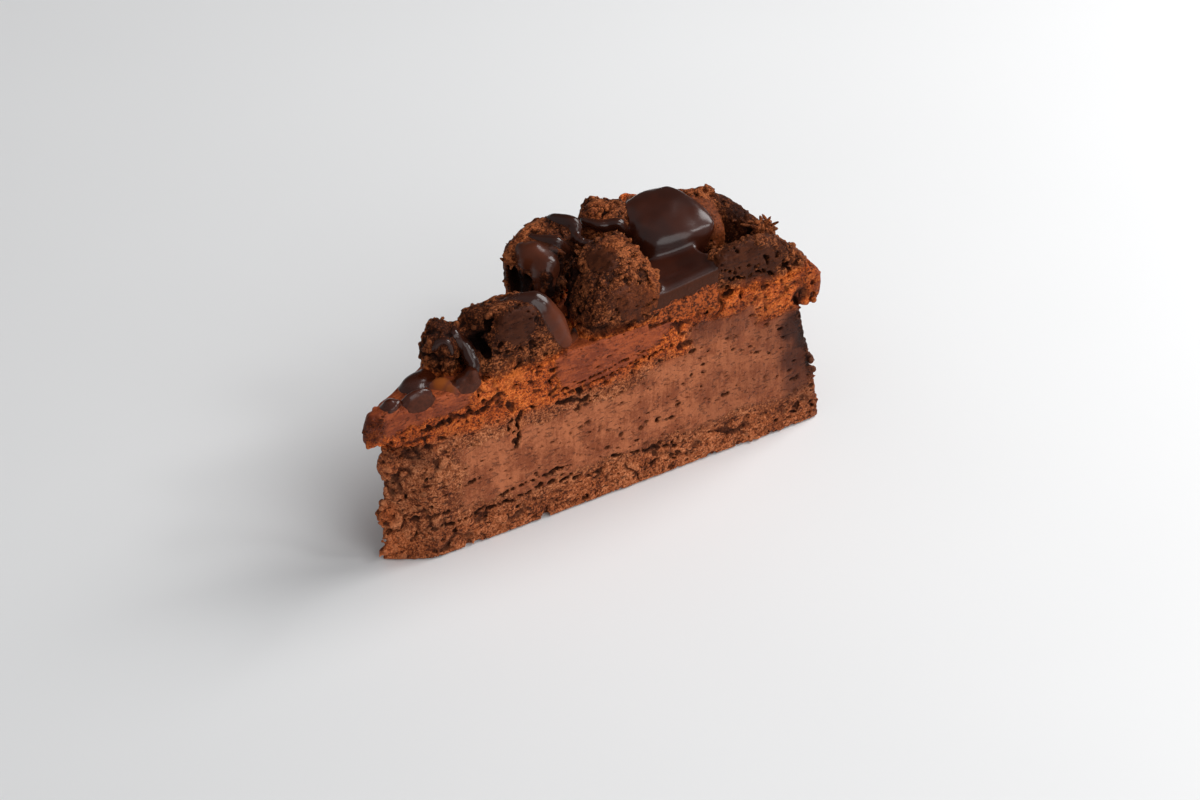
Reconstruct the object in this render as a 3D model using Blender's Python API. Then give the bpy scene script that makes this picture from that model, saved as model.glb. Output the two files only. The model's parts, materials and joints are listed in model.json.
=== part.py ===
"""A slice of triple chocolate cake: crumb base, fudge, sponge and ganache, topped with brownie pieces.

Every point is first worked out in the cake's own plan, with the cake's centre at the origin, the slice's
bisector along +X and the table at z = 0. An empty then carries the slice to its reference point, the middle
of its footprint.
"""

import math

import bmesh
import bpy
from mathutils import Euler, Vector, noise

MM = 0.001

# The whole cake, and the share of it that one slice takes.
SLICES_IN_CAKE = 14
HALF_ANGLE = math.pi / SLICES_IN_CAKE
RIM_RADIUS = 139.0 * MM
RIM_LEAN = 7.0 * MM  # the baked rim leans in by this much from the foot to the top of the fudge
TOPPING_RADIUS = 139.6 * MM  # the topping hangs over the leaning rim
TOPPING_TIP = 7.0 * MM
SPONGE_TIP = 12.0 * MM
CORNER_LOST = 8.0 * MM  # how far the topping's far corner at the rim has broken away
BLUNT_NEAR = 25.0 * MM  # under the topping the point has broken off, along a line between these two
BLUNT_FAR = 15.0 * MM

# Heights of the layers above the table.
BASE_TOP = 8.0 * MM
FUDGE_TOP = 33.0 * MM
BED_TOP = 45.5 * MM
TOPPING_FULLEST = 40.5 * MM  # the height at which the topping's rim stands out furthest
GAP = 0.3 * MM  # clearance between pieces that touch
LAYER_GAP = 0.4 * MM  # the same between layers, whose facets don't line up
SEAT = 44.0 * MM  # the foot of the pieces that lie on the bed, each a hair higher than the one before
DROP_SEAT = 43.2 * MM

KNIFE_CLEAR = 3.0 * MM  # how far the room cut out for a piece reaches beyond the knife's flat

# The poured glaze: a coat over one piece, and the pool that it runs into, measured along the near cut.
POUR_THICK = 1.7 * MM
POOL_START, POOL_END = 86.8 * MM, 108.0 * MM
POOL_DEPTH = 15.0 * MM
POOL_TOP = 53.2 * MM
POOL_RISE = 2.2 * MM  # by how much the pool stands higher at its rim end
POOL_FOOT = BED_TOP - 1.2 * MM

# Unevenness of the layers.
CRUMBLE = 0.55 * MM
CRUMBLE_SIZE = 7.0 * MM

NEAR_OUT = Vector((-math.sin(HALF_ANGLE), -math.cos(HALF_ANGLE), 0.0))  # out of the near cut face
FAR_OUT = Vector((-math.sin(HALF_ANGLE), math.cos(HALF_ANGLE), 0.0))

COLOURS = {
    "crumb base": ((0.250, 0.064, 0.019), 0.85),
    "fudge": ((0.310, 0.085, 0.031), 0.70),
    "sponge": ((0.420, 0.078, 0.014), 0.90),
    "ganache": ((0.260, 0.050, 0.015), 0.50),
    "brownie": ((0.080, 0.020, 0.007), 0.85),
    "glaze": ((0.032, 0.007, 0.003), 0.16),
    "drop": ((0.055, 0.014, 0.007), 0.30),
}


def clear_scene():
    for obj in list(bpy.data.objects):
        bpy.data.objects.remove(obj, do_unlink=True)


def material(name):
    if name in bpy.data.materials:
        return bpy.data.materials[name]
    colour, roughness = COLOURS[name]
    made = bpy.data.materials.new(name)
    made.use_nodes = True
    shader = made.node_tree.nodes["Principled BSDF"]
    shader.inputs["Base Color"].default_value = (*colour, 1.0)
    shader.inputs["Roughness"].default_value = roughness
    shader.inputs["Metallic"].default_value = 0.0
    made.diffuse_color = (*colour, 1.0)
    return made


def smooth_step(low, high, value):
    share = min(1.0, max(0.0, (value - low) / (high - low)))
    return share * share * (3.0 - 2.0 * share)


def mix(a, b, share):
    return a + (b - a) * share


def wander(point, size, seed=0.0):
    """A smooth value from about -1 to 1 that changes over about that size."""
    return noise.noise(point / size + Vector((seed, seed * 0.7, -seed)))


def crumble(point):
    """The point, moved a little as a cut cake's surface is, and never up or down on the table."""
    push = Vector([wander(point, CRUMBLE_SIZE, seed) for seed in (1.0, 4.0, 9.0)])
    push.z *= smooth_step(0.0, 6.0 * MM, point.z) * 0.6
    return point + push * CRUMBLE


def on_cut(run, inset, height):
    """A point by its run along the near cut face from the cake's centre, its depth behind it and its height."""
    return Vector(
        (
            run * math.cos(HALF_ANGLE) + inset * math.sin(HALF_ANGLE),
            -run * math.sin(HALF_ANGLE) + inset * math.cos(HALF_ANGLE),
            height,
        )
    )


def new_object(name, bm, look):
    bmesh.ops.recalc_face_normals(bm, faces=bm.faces)
    # Triangles leave no doubt where a bent face runs. The knife's flats and the seats become one face again.
    bmesh.ops.triangulate(bm, faces=bm.faces)
    bmesh.ops.dissolve_limit(bm, angle_limit=math.radians(0.3), verts=bm.verts, edges=bm.edges)
    mesh = bpy.data.meshes.new(name)
    bm.to_mesh(mesh)
    bm.free()
    mesh.shade_smooth()
    obj = bpy.data.objects.new(name, mesh)
    bpy.context.scene.collection.objects.link(obj)
    mesh.materials.append(material(look))
    return obj


def block(name, look, cells, place):
    """A closed block: the outside of a lattice of cells, each point put in place by its shares u, v and w."""
    bm = bmesh.new()
    count = Vector(cells)
    points = {}

    def corner(key):
        if key not in points:
            shares = [key[axis] / count[axis] for axis in range(3)]
            points[key] = bm.verts.new(place(*shares))
        return points[key]

    for axis in range(3):
        first, second = (axis + 1) % 3, (axis + 2) % 3
        for side in (0, cells[axis]):
            for i in range(cells[first]):
                for j in range(cells[second]):
                    keys = []
                    for di, dj in ((0, 0), (1, 0), (1, 1), (0, 1)):
                        key = [0, 0, 0]
                        key[axis] = side
                        key[first] = i + di
                        key[second] = j + dj
                        keys.append(corner(tuple(key)))
                    bm.faces.new(keys if side else keys[::-1])
    return new_object(name, bm, look)


# The layers.


def blunt_radius(angle):
    """How far from the cake's centre the broken point starts, along a ray at this angle."""
    near = Vector((math.cos(-HALF_ANGLE), math.sin(-HALF_ANGLE))) * BLUNT_NEAR
    far = Vector((math.cos(HALF_ANGLE), math.sin(HALF_ANGLE))) * BLUNT_FAR
    edge = far - near
    ray = Vector((math.cos(angle), math.sin(angle)))
    return (near.x * edge.y - near.y * edge.x) / (ray.x * edge.y - ray.y * edge.x)


def body_place(low, high):
    """Where a layer under the topping puts its lattice, between two heights, each a function of a plan point."""

    def place(u, v, w):
        angle = mix(-HALF_ANGLE, HALF_ANGLE, v)
        start = blunt_radius(angle)
        plan = Vector((math.cos(angle), math.sin(angle), 0.0))
        spot = plan * mix(start, RIM_RADIUS, u)
        lean = RIM_LEAN * min(1.0, mix(low(spot), high(spot), w) / FUDGE_TOP) ** 1.5
        spot = plan * mix(start, RIM_RADIUS - lean, u)
        spot.z = mix(low(spot), high(spot), w)
        return crumble(spot)

    return place


def topping_place(start, low, high):
    """Where a layer of the topping puts its lattice: it reaches over the broken point and over the rim."""

    def place(u, v, w):
        angle = mix(-HALF_ANGLE, HALF_ANGLE, v)
        plan = Vector((math.cos(angle), math.sin(angle), 0.0))
        spot = plan * mix(start, TOPPING_RADIUS, u)
        # The rim's edge is round, fullest a little above the middle of the topping.
        off = (mix(low(spot), high(spot), w) - TOPPING_FULLEST) / (BED_TOP - TOPPING_FULLEST)
        pull_in = 2.6 * MM * min(2.0, off * off)
        pull_in += CORNER_LOST * smooth_step(0.55, 1.0, v) ** 2
        spot = plan * mix(start + 0.4 * min(pull_in, 4.0 * MM), TOPPING_RADIUS - pull_in, u)
        spot.z = mix(low(spot), high(spot), w)
        return crumble(spot)

    return place


def base_top(spot):
    return BASE_TOP + 0.9 * MM * wander(spot, 16.0 * MM, 3.0)


def fudge_top(spot):
    rise = 1.5 * MM * smooth_step(100.0 * MM, 135.0 * MM, spot.length)
    return FUDGE_TOP + rise + 0.7 * MM * wander(spot, 18.0 * MM, 7.0)


def sponge_top(spot):
    """The sponge swells in the first half and at the rim, and thins under the smooth ganache in between."""
    run = spot.length
    first = smooth_step(22.0 * MM, 34.0 * MM, run) * (1.0 - smooth_step(66.0 * MM, 80.0 * MM, run))
    last = smooth_step(92.0 * MM, 104.0 * MM, run)
    swell = 3.4 * MM * first + 2.6 * MM * last
    return FUDGE_TOP + 4.0 * MM + swell + 0.5 * MM * wander(spot, 12.0 * MM, 11.0)


def sponge_foot(spot):
    """The sponge's underside, which has crumbled away where it hangs over the broken point."""
    return fudge_top(spot) + LAYER_GAP + 2.6 * MM * (1.0 - smooth_step(14.0 * MM, 24.0 * MM, spot.length))


def bed_top(spot):
    return BED_TOP + 0.8 * MM * wander(spot, 14.0 * MM, 17.0)


def above(surface):
    return lambda spot: surface(spot) + LAYER_GAP


def table(spot):
    return 0.0


def make_layers():
    lattice = (23, 7)
    block("crumb_base", "crumb base", (*lattice, 2), body_place(table, base_top))
    block("fudge_layer", "fudge", (*lattice, 4), body_place(above(base_top), fudge_top))
    block("sponge_layer", "sponge", (*lattice, 2), topping_place(SPONGE_TIP, sponge_foot, sponge_top))
    block("ganache_bed", "ganache", (*lattice, 3), topping_place(TOPPING_TIP, above(sponge_top), bed_top))


# The pieces on top.

ALONG = Vector((math.cos(HALF_ANGLE), -math.sin(HALF_ANGLE), 0.0))
UP = Vector((0.0, 0.0, 1.0))
DOWN = -UP
KNIFE = (NEAR_OUT, 0.0)  # a flat that the knife left: which way it faces, and how far out it is
FAR_KNIFE = (FAR_OUT, 0.0)


class Chunk:
    """A torn piece: rounded flats round a centre, with a craggy skin, and cut off flat at its cuts."""

    def __init__(
        self, centre, half, turn=0.0, tilt=(0.0, 0.0), flats=(), cuts=(),
        seat=SEAT, sharp=7.0, crag=0.9, seed=1.0,
    ):
        self.centre = Vector(centre) * MM
        self.seed = seed
        self.crag = crag * MM
        self.sharp = sharp
        self.cuts = [*cuts, (DOWN, -seat - 0.06 * MM * seed)]
        turning = Euler([math.radians(a) for a in (*tilt, turn)]).to_matrix()
        self.planes = []
        for axis in range(3):
            for sign in (1.0, -1.0):
                out = Vector((0.0, 0.0, 0.0))
                out[axis] = sign
                self.planes.append((turning @ out, half[axis] * MM))
        for out, reach in flats:
            self.planes.append((Vector(out).normalized(), reach * MM))

    def reach(self, ray, grow=0.0):
        """How far the skin is from the centre along a unit ray."""
        total = 0.0
        for out, distance in self.planes:
            facing = out.dot(ray)
            if facing > 0.0:
                total += (facing / distance) ** self.sharp
        far = total ** (-1.0 / self.sharp)
        spot = self.centre + ray * far
        rough = wander(spot, 5.0 * MM, self.seed) + 0.5 * wander(spot, 2.4 * MM, self.seed + 5.0)
        far += self.crag * rough + grow
        for out, distance in self.cuts:
            facing = out.dot(ray)
            if facing > 0.0:
                far = min(far, (distance - out.dot(self.centre)) / facing)
        return far

    def solid(self, name, look="brownie", cells=6):
        def place(u, v, w):
            # Even steps of angle keep the cells of a cube's face about the same size on the piece.
            ray = Vector([math.tan((share - 0.5) * math.pi / 2.0) for share in (u, v, w)]).normalized()
            return self.centre + ray * self.reach(ray)

        return block(name, look, (cells, cells, cells), place)


CREST = math.radians(-24.0)  # the way the glazed piece's crest runs
CREST_OUT = Vector((math.sin(CREST), -math.cos(CREST), 0.0))  # from the crest towards the pool

CHUNKS = {
    # The big piece near the point, cut through by the knife, with a sloping end towards the rim.
    "brownie_cut": Chunk(
        on_cut(51.5, 5.2, 50.0),
        (14.0, 6.6, 11.4),
        turn=-12.0,
        tilt=(-9.0, 2.0),
        flats=[(ALONG * 0.84 + UP * 0.54, 9.6), (ALONG * -0.85 + NEAR_OUT * 0.35 + UP * 0.39, 11.6)],
        cuts=[KNIFE],
        sharp=9.0,
        crag=0.7,
        seed=2.0,
    ),
    # The torn one at the far cut face.
    "brownie_far": Chunk(
        (78.6, 10.4, 53.0),
        (9.8, 8.2, 8.8),
        turn=13.0,
        tilt=(0.0, -4.0),
        flats=[((0.35, -0.94, 0.0), 6.4)],
        cuts=[FAR_KNIFE],
        sharp=6.0,
        crag=1.2,
        seed=4.0,
    ),
    # The crumbly one in the middle, highest at its rim end, with a cleft between it and the far one.
    "brownie_middle": Chunk(
        on_cut(80.9, 9.9, 52.0),
        (11.0, 9.6, 12.0),
        turn=-14.0,
        flats=[
            (UP * 0.93 + NEAR_OUT * 0.37, 8.4),
            (UP * 0.78 + ALONG * -0.62, 8.0),
            (ALONG * -0.72 + NEAR_OUT * -0.69, 9.6),
        ],
        sharp=8.0,
        crag=0.8,
        seed=5.0,
    ),
    # The one under the glaze, whose top falls towards the pool. Its side towards the rim is bare.
    "brownie_glazed": Chunk(
        (111.2, -3.2, 52.6),
        (11.4, 8.4, 10.2),
        turn=math.degrees(CREST),
        flats=[(UP * 0.93 + CREST_OUT * 0.36, 8.0)],
        sharp=5.0,
        crag=0.5,
        seed=7.0,
    ),
    # The block at the rim, cut by the knife, its outer end falling to the edge.
    "brownie_rim": Chunk(
        on_cut(122.5, 3.4, 48.0),
        (16.2, 6.4, 11.2),
        turn=-13.0,
        flats=[(ALONG * 0.70 + UP * 0.71, 8.6), (NEAR_OUT * -0.60 + UP * 0.80, 8.2)],
        cuts=[KNIFE],
        sharp=10.0,
        crag=0.9,
        seed=8.0,
    ),
    # The small round one nearest the point.
    "brownie_small": Chunk(
        (36.0, 3.0, 50.8), (5.1, 4.8, 7.2), turn=25.0, tilt=(6.0, -8.0), sharp=4.0, seed=3.0
    ),
    # The one behind, between the far and the glazed piece.
    "brownie_back": Chunk(
        (98.6, 9.4, 53.0), (5.6, 6.2, 8.8), turn=35.0, tilt=(0.0, 5.0), sharp=5.0, seed=6.0
    ),
    # The narrow dark one behind the glaze, which falls towards the near side.
    "brownie_shard": Chunk(
        (124.2, -5.6, 49.8), (3.4, 9.4, 8.4), turn=16.0, tilt=(18.0, 6.0), sharp=5.0, seed=9.0
    ),
    # The torn scrap behind the block at the rim.
    "brownie_scrap": Chunk((126.6, -17.0, 50.0), (3.4, 3.2, 5.6), turn=30.0, sharp=4.0, crag=1.0, seed=12.0),
    # Two low ones on the far side: one behind the cut piece, one by the rim's broken corner.
    "brownie_low": Chunk((57.5, 7.6, 46.2), (6.2, 4.4, 3.2), turn=10.0, sharp=4.0, seed=11.0),
    "brownie_corner": Chunk((119.5, 13.6, 46.4), (8.4, 7.4, 4.0), turn=40.0, sharp=4.0, crag=1.1, seed=10.0),
}

DROPS = {
    # Chocolate drops sunk in the bed near the point; the knife went through the first two.
    "chocolate_drop_1": Chunk(
        on_cut(22.2, 1.0, 45.8), (4.1, 3.6, 2.5), sharp=2.2, cuts=[KNIFE], seat=DROP_SEAT, crag=0.1, seed=1.0
    ),
    "chocolate_drop_2": Chunk(
        on_cut(35.7, 1.0, 46.3), (3.4, 3.6, 2.6), sharp=2.2, cuts=[KNIFE], seat=DROP_SEAT, crag=0.1, seed=2.0
    ),
    "chocolate_drop_3": Chunk(
        (27.4, 2.5, 44.8), (5.3, 3.3, 3.3), sharp=2.2, seat=DROP_SEAT, crag=0.1, seed=3.0
    ),
    "chocolate_drop_4": Chunk(
        (15.3, -0.6, 46.0), (2.3, 1.9, 2.2), sharp=2.2, seat=DROP_SEAT, crag=0.1, seed=4.0
    ),
}

# Thick strands of ganache that ran over the pieces: which piece, how thick, and the way they take.
STRANDS = (
    ("brownie_cut", 1.9, ((51.0, -3.5, 61.5), (56.0, -8.0, 61.0), (58.5, -10.5, 55.5), (62.5, -12.5, 47.5))),
    ("brownie_cut", 1.5, ((41.0, 3.0, 58.0), (38.5, -1.5, 54.0), (36.0, -5.5, 49.5))),
    ("brownie_far", 1.1, ((85.5, 13.5, 62.0), (85.5, 8.0, 62.0), (84.5, 2.5, 61.0), (83.0, 0.0, 58.0))),
    ("brownie_far", 1.0, ((77.7, 13.0, 62.0), (78.1, 6.0, 61.5), (77.2, 1.5, 57.5))),
    ("brownie_far", 2.0, ((74.0, 9.0, 61.0), (72.0, 3.5, 56.0), (71.0, 1.0, 49.0))),
    ("brownie_back", 1.0, ((92.5, 9.0, 60.0), (93.0, 4.5, 60.0), (94.0, 2.5, 57.0))),
)

# The poured glaze.

POUR_SIDE = Vector((-0.80, -0.12, 0.60)).normalized()  # the side of the piece that it covers


def pour_coat(name):
    chunk = CHUNKS["brownie_glazed"]

    def place(u, v, w):
        ray = Vector([math.tan((share - 0.5) * math.pi / 2.0) for share in (u, v, w)]).normalized()
        cover = smooth_step(-0.04, 0.20, ray.dot(POUR_SIDE))
        return chunk.centre + ray * chunk.reach(ray, mix(-1.6 * MM, POUR_THICK, cover))

    return block(name, "glaze", (7, 7, 7), place)


def pour_pool(name):
    def place(u, v, w):
        run = mix(POOL_START, POOL_END, u)
        inset = POOL_DEPTH * v
        sag = 1.2 * MM * math.sin(math.pi * u) * smooth_step(0.1, 0.5, v)
        lip = 0.9 * MM * (1.0 - smooth_step(0.0, 0.16, v))
        top = POOL_TOP + POOL_RISE * u - sag - lip
        return on_cut(run, inset, mix(POOL_FOOT, top, w))

    return block(name, "glaze", (9, 7, 3), place)


def smooth_run(points, steps):
    """Points along a smooth curve through the given ones."""
    ends = [points[0] * 2.0 - points[1], *points, points[-1] * 2.0 - points[-2]]
    run = []
    for k in range(len(points) - 1):
        a, b, c, d = ends[k : k + 4]
        for step in range(steps):
            t = step / steps
            run.append(
                b + (c - a) * (0.5 * t) + (a * 2.0 - b * 5.0 + c * 4.0 - d) * (0.5 * t * t)
                + (b * 3.0 - a - c * 3.0 + d) * (0.5 * t * t * t)
            )
    run.append(points[-1])
    return run


def strand(name, chunk, thick, way, sides=7):
    """A round strand that lies half sunk on a piece's skin and tapers to a point at both ends."""
    on_skin = []
    for spot in way:
        ray = (Vector(spot) * MM - chunk.centre).normalized()
        on_skin.append(chunk.centre + ray * (chunk.reach(ray) + 0.15 * thick * MM))
    run = smooth_run(on_skin, 3)
    bm = bmesh.new()
    rings = []
    for k, centre in enumerate(run):
        ahead = (run[min(k + 1, len(run) - 1)] - run[max(k - 1, 0)]).normalized()
        out = (centre - chunk.centre).normalized()
        side = ahead.cross(out).normalized()
        out = side.cross(ahead)
        share = k / (len(run) - 1)
        radius = thick * MM * (0.45 + 0.55 * math.sin(math.pi * share) ** 0.5)
        ring = []
        for corner in range(sides):
            turn = 2.0 * math.pi * corner / sides
            ring.append(bm.verts.new(centre + (side * math.cos(turn) + out * math.sin(turn)) * radius))
        rings.append(ring)
    for low, high in zip(rings, rings[1:]):
        for corner in range(sides):
            after = (corner + 1) % sides
            bm.faces.new((low[corner], low[after], high[after], high[corner]))
    bm.faces.new(rings[0][::-1])
    bm.faces.new(rings[-1])
    return new_object(name, bm, "glaze")


def room_for(obj):
    """A cutter that is the piece grown by the gap all round, and by more where the knife has cut the piece."""
    bm = bmesh.new()
    bm.from_mesh(obj.data)
    bm.normal_update()
    moves = []
    for vertex in bm.verts:
        move = vertex.normal * GAP * min(2.0, vertex.calc_shell_factor())
        for out in (NEAR_OUT, FAR_OUT):
            if abs(vertex.co.dot(out)) < 0.001 * MM:
                move += out * KNIFE_CLEAR
        moves.append(move)
    for vertex, move in zip(bm.verts, moves):
        vertex.co += move
    mesh = bpy.data.meshes.new(f"room for {obj.name}")
    bm.to_mesh(mesh)
    bm.free()
    room = bpy.data.objects.new(f"room_for_{obj.name}", mesh)
    bpy.context.scene.collection.objects.link(room)
    room.hide_render = True
    room.display_type = "WIRE"
    return room


def bake(obj):
    """Replaces the object's mesh with its evaluated one."""
    graph = bpy.context.evaluated_depsgraph_get()
    mesh = bpy.data.meshes.new_from_object(obj.evaluated_get(graph))
    obj.modifiers.clear()
    obj.data = mesh
    return obj


def combine(obj, others, operation):
    """Unites the others with the object, or cuts them from it, all in one step and for good."""
    if not others:
        return obj
    group = bpy.data.collections.new(f"{obj.name} {operation.lower()}")
    bpy.context.scene.collection.children.link(group)
    for other in others:
        group.objects.link(other)
    step = obj.modifiers.new(operation.capitalize(), "BOOLEAN")
    step.operation = operation
    step.solver = "EXACT"
    step.use_self = True
    step.operand_type = "COLLECTION"
    step.collection = group
    bpy.context.view_layer.update()
    bake(obj)
    bpy.data.collections.remove(group)
    return obj


def join(obj, others):
    combine(obj, others, "UNION")
    for other in others:
        bpy.data.objects.remove(other, do_unlink=True)
    return obj


def cut(obj, cutters):
    bpy.context.view_layer.update()
    return combine(obj, [cutter for cutter in cutters if boxes_meet(obj, cutter)], "DIFFERENCE")


def biggest_body(obj):
    """Keeps the largest of an object's bodies and drops the scraps that a cut has left."""
    bm = bmesh.new()
    bm.from_mesh(obj.data)
    bm.verts.ensure_lookup_table()
    left = set(bm.verts)
    bodies = []
    while left:
        body = {left.pop()}
        edge_of_body = list(body)
        while edge_of_body:
            vertex = edge_of_body.pop()
            for edge in vertex.link_edges:
                other = edge.other_vert(vertex)
                if other in left:
                    left.discard(other)
                    body.add(other)
                    edge_of_body.append(other)
        bodies.append(body)
    bodies.sort(key=len)
    scraps = [vertex for body in bodies[:-1] for vertex in body]
    if scraps:
        print(obj.name, "drops", len(bodies) - 1, "scraps of", [len(body) for body in bodies[:-1]], "points")
        bmesh.ops.delete(bm, geom=scraps, context="VERTS")
        bm.to_mesh(obj.data)
    bm.free()


def boxes_meet(a, b):
    low_a, high_a = Vector(a.bound_box[0]), Vector(a.bound_box[6])
    low_b, high_b = Vector(b.bound_box[0]), Vector(b.bound_box[6])
    return all(low_a[k] < high_b[k] and low_b[k] < high_a[k] for k in range(3))


def centre_on_footprint(nodes):
    """Carries every piece on an empty, so that the footprint's middle is the origin."""
    corners = [vertex.co for obj in nodes for vertex in obj.data.vertices]
    low = Vector([min(corner[axis] for corner in corners) for axis in range(3)])
    high = Vector([max(corner[axis] for corner in corners) for axis in range(3)])
    carrier = bpy.data.objects.new("slice", None)
    bpy.context.scene.collection.objects.link(carrier)
    carrier.location = (-(low.x + high.x) / 2.0, -(low.y + high.y) / 2.0, -low.z)
    for obj in bpy.data.objects:
        if obj is not carrier:
            obj.parent = carrier
    print("carried by", [round(value / MM, 3) for value in carrier.location], "mm")
    print("size", [round(value / MM, 2) for value in high - low], "mm")


def main():
    clear_scene()
    make_layers()
    bed = bpy.data.objects["ganache_bed"]
    pieces = {**CHUNKS, **DROPS}
    nodes = [bpy.data.objects[name] for name in ("crumb_base", "fudge_layer", "sponge_layer")]
    nodes.append(bed)
    rooms = []
    for name, chunk in pieces.items():
        drop = name in DROPS
        obj = chunk.solid(name, "drop" if drop else "brownie", 4 if drop else 6)
        strands = [
            strand(f"{name} strand {k}", chunk, thick, way)
            for k, (carrier, thick, way) in enumerate(STRANDS)
            if carrier == name
        ]
        own_rooms = [room_for(part) for part in (obj, *strands)]
        join(obj, strands)
        biggest_body(cut(obj, rooms))
        nodes.append(obj)
        rooms += own_rooms
    pour = pour_coat("ganache_pour")
    pool = pour_pool("pool")
    pour_rooms = [room_for(pour), room_for(pool)]
    biggest_body(cut(join(pour, [pool]), rooms))
    nodes.append(pour)
    biggest_body(cut(bed, rooms + pour_rooms))
    centre_on_footprint(nodes)


main()
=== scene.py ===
# %% [markdown]
# # A slice of triple chocolate cake
# This lesson turns a plain solid model of a cake slice into something that looks good enough to eat.
# They have the right size and place, but flat facets and no crumb. Every step adds one thing that a real
# slice has: torn edges, pores, crumbs, glossy ganache, soft light.

# %% The tools
import json
import math

import bpy
import numpy as np
import openvdb
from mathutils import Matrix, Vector

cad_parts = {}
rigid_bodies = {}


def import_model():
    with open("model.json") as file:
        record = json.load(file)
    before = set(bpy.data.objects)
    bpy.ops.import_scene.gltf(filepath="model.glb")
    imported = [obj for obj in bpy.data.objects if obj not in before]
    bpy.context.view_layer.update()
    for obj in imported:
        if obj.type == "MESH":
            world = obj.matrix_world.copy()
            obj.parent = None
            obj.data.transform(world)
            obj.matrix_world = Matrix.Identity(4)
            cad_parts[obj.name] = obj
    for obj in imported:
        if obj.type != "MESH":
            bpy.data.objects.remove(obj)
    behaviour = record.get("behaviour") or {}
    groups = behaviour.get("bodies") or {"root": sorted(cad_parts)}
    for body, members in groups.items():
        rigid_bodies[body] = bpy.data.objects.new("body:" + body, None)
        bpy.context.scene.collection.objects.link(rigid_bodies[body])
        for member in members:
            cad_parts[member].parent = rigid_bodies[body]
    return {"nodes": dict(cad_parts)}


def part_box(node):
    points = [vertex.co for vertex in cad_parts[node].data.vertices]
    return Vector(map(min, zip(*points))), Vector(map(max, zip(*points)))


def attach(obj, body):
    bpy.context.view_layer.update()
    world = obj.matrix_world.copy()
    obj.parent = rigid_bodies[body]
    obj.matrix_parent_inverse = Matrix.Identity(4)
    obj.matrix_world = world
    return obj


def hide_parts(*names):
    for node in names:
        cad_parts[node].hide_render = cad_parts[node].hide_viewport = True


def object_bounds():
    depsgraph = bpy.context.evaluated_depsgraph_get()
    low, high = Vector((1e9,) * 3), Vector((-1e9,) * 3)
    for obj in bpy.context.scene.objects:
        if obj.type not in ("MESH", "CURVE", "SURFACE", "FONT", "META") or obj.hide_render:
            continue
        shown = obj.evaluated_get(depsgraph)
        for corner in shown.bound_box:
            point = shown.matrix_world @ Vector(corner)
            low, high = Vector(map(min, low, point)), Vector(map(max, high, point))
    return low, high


for obj in list(bpy.data.objects):
    bpy.data.objects.remove(obj, do_unlink=True)
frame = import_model()
nodes = frame["nodes"]
bounds_at_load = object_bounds()
print("solids:", len(nodes))

# %% [markdown]
# ## Where things are
# All of the carving below is worked out in millimetres. A slice is easiest to describe from the cake's
# centre, because both cut faces start there. `run` is the distance from that centre, measured on the plan.

# %% Places and directions
MM = 0.001
CENTRE = np.array([-73.175, 0.082, 0.0])  # the whole cake's centre, in millimetres
RIM = 139.0  # the cake's radius
RIM_LEAN = 7.0  # how far the baked rim leans in from its foot to its top
FUDGE_TOP = 33.0  # the height at which the fudge ends
HALF_ANGLE = math.pi / 14  # the slice is one fourteenth of a round cake
ALONG = np.array([math.cos(HALF_ANGLE), -math.sin(HALF_ANGLE), 0.0])  # along the near cut face
NEAR_OUT = np.array([-math.sin(HALF_ANGLE), -math.cos(HALF_ANGLE), 0.0])  # out of the near cut face
FAR_OUT = np.array([-math.sin(HALF_ANGLE), math.cos(HALF_ANGLE), 0.0])
UP = np.array([0.0, 0.0, 1.0])


def on_cut(run, inset, height):
    """A point by its run along the near cut face and its depth behind that face."""
    return ALONG * run - NEAR_OUT * inset + UP * height


def rim_lean(height):
    """How far the baked rim leans in at a height."""
    return RIM_LEAN * np.clip(height / FUDGE_TOP, 0.0, 1.0) ** 1.5


rng = np.random.default_rng(14)
print("near face looks towards", NEAR_OUT.round(3))

# %% [markdown]
# ## Turning solids into voxels
# Crumb has overhangs, pits and caves, which are hard to pull out of a mesh but easy to cut from a volume.
# A signed distance field stores, at every point of a fine grid, how far the surface is: below zero inside
# and above zero outside. Adding noise to the numbers roughens the cake, and taking the smaller of two
# fields unites two shapes. OpenVDB comes with Blender and turns a mesh into such a field and back.

# %% The grid
STEP = 0.34  # millimetres from one grid point to the next
BAND = 8  # how many steps the distances reach to each side of a surface
MARGIN = 3.0  # millimetres of empty grid round the cake

low_corner, high_corner = (np.array(corner) / MM for corner in bounds_at_load)
FIRST = np.floor((low_corner - MARGIN) / STEP).astype(int)
LAST = np.ceil((high_corner + MARGIN) / STEP).astype(int)
SHAPE = tuple(int(n) for n in LAST - FIRST + 1)
FAR_AWAY = BAND * STEP
print("grid", SHAPE, "points, one every", STEP, "mm")

# %% [markdown]
# ## From a mesh to a field and back
# OpenVDB takes a mesh as corner points and triangles, and gives the distances to it as a plain array. The
# way back gives triangles and four-sided faces, and each of those is cut in two. Blurring such an array
# rounds every edge in it, because each value moves towards its neighbours.

# %% Fields from meshes and meshes from fields
def mesh_arrays(obj):
    """The corner points of an object's mesh in millimetres, and its triangles."""
    mesh = obj.data
    mesh.calc_loop_triangles()
    points = np.empty(len(mesh.vertices) * 3, np.float32)
    mesh.vertices.foreach_get("co", points)
    triangles = np.empty(len(mesh.loop_triangles) * 3, np.int32)
    mesh.loop_triangles.foreach_get("vertices", triangles)
    return points.reshape(-1, 3) / MM, triangles.reshape(-1, 3)


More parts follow.
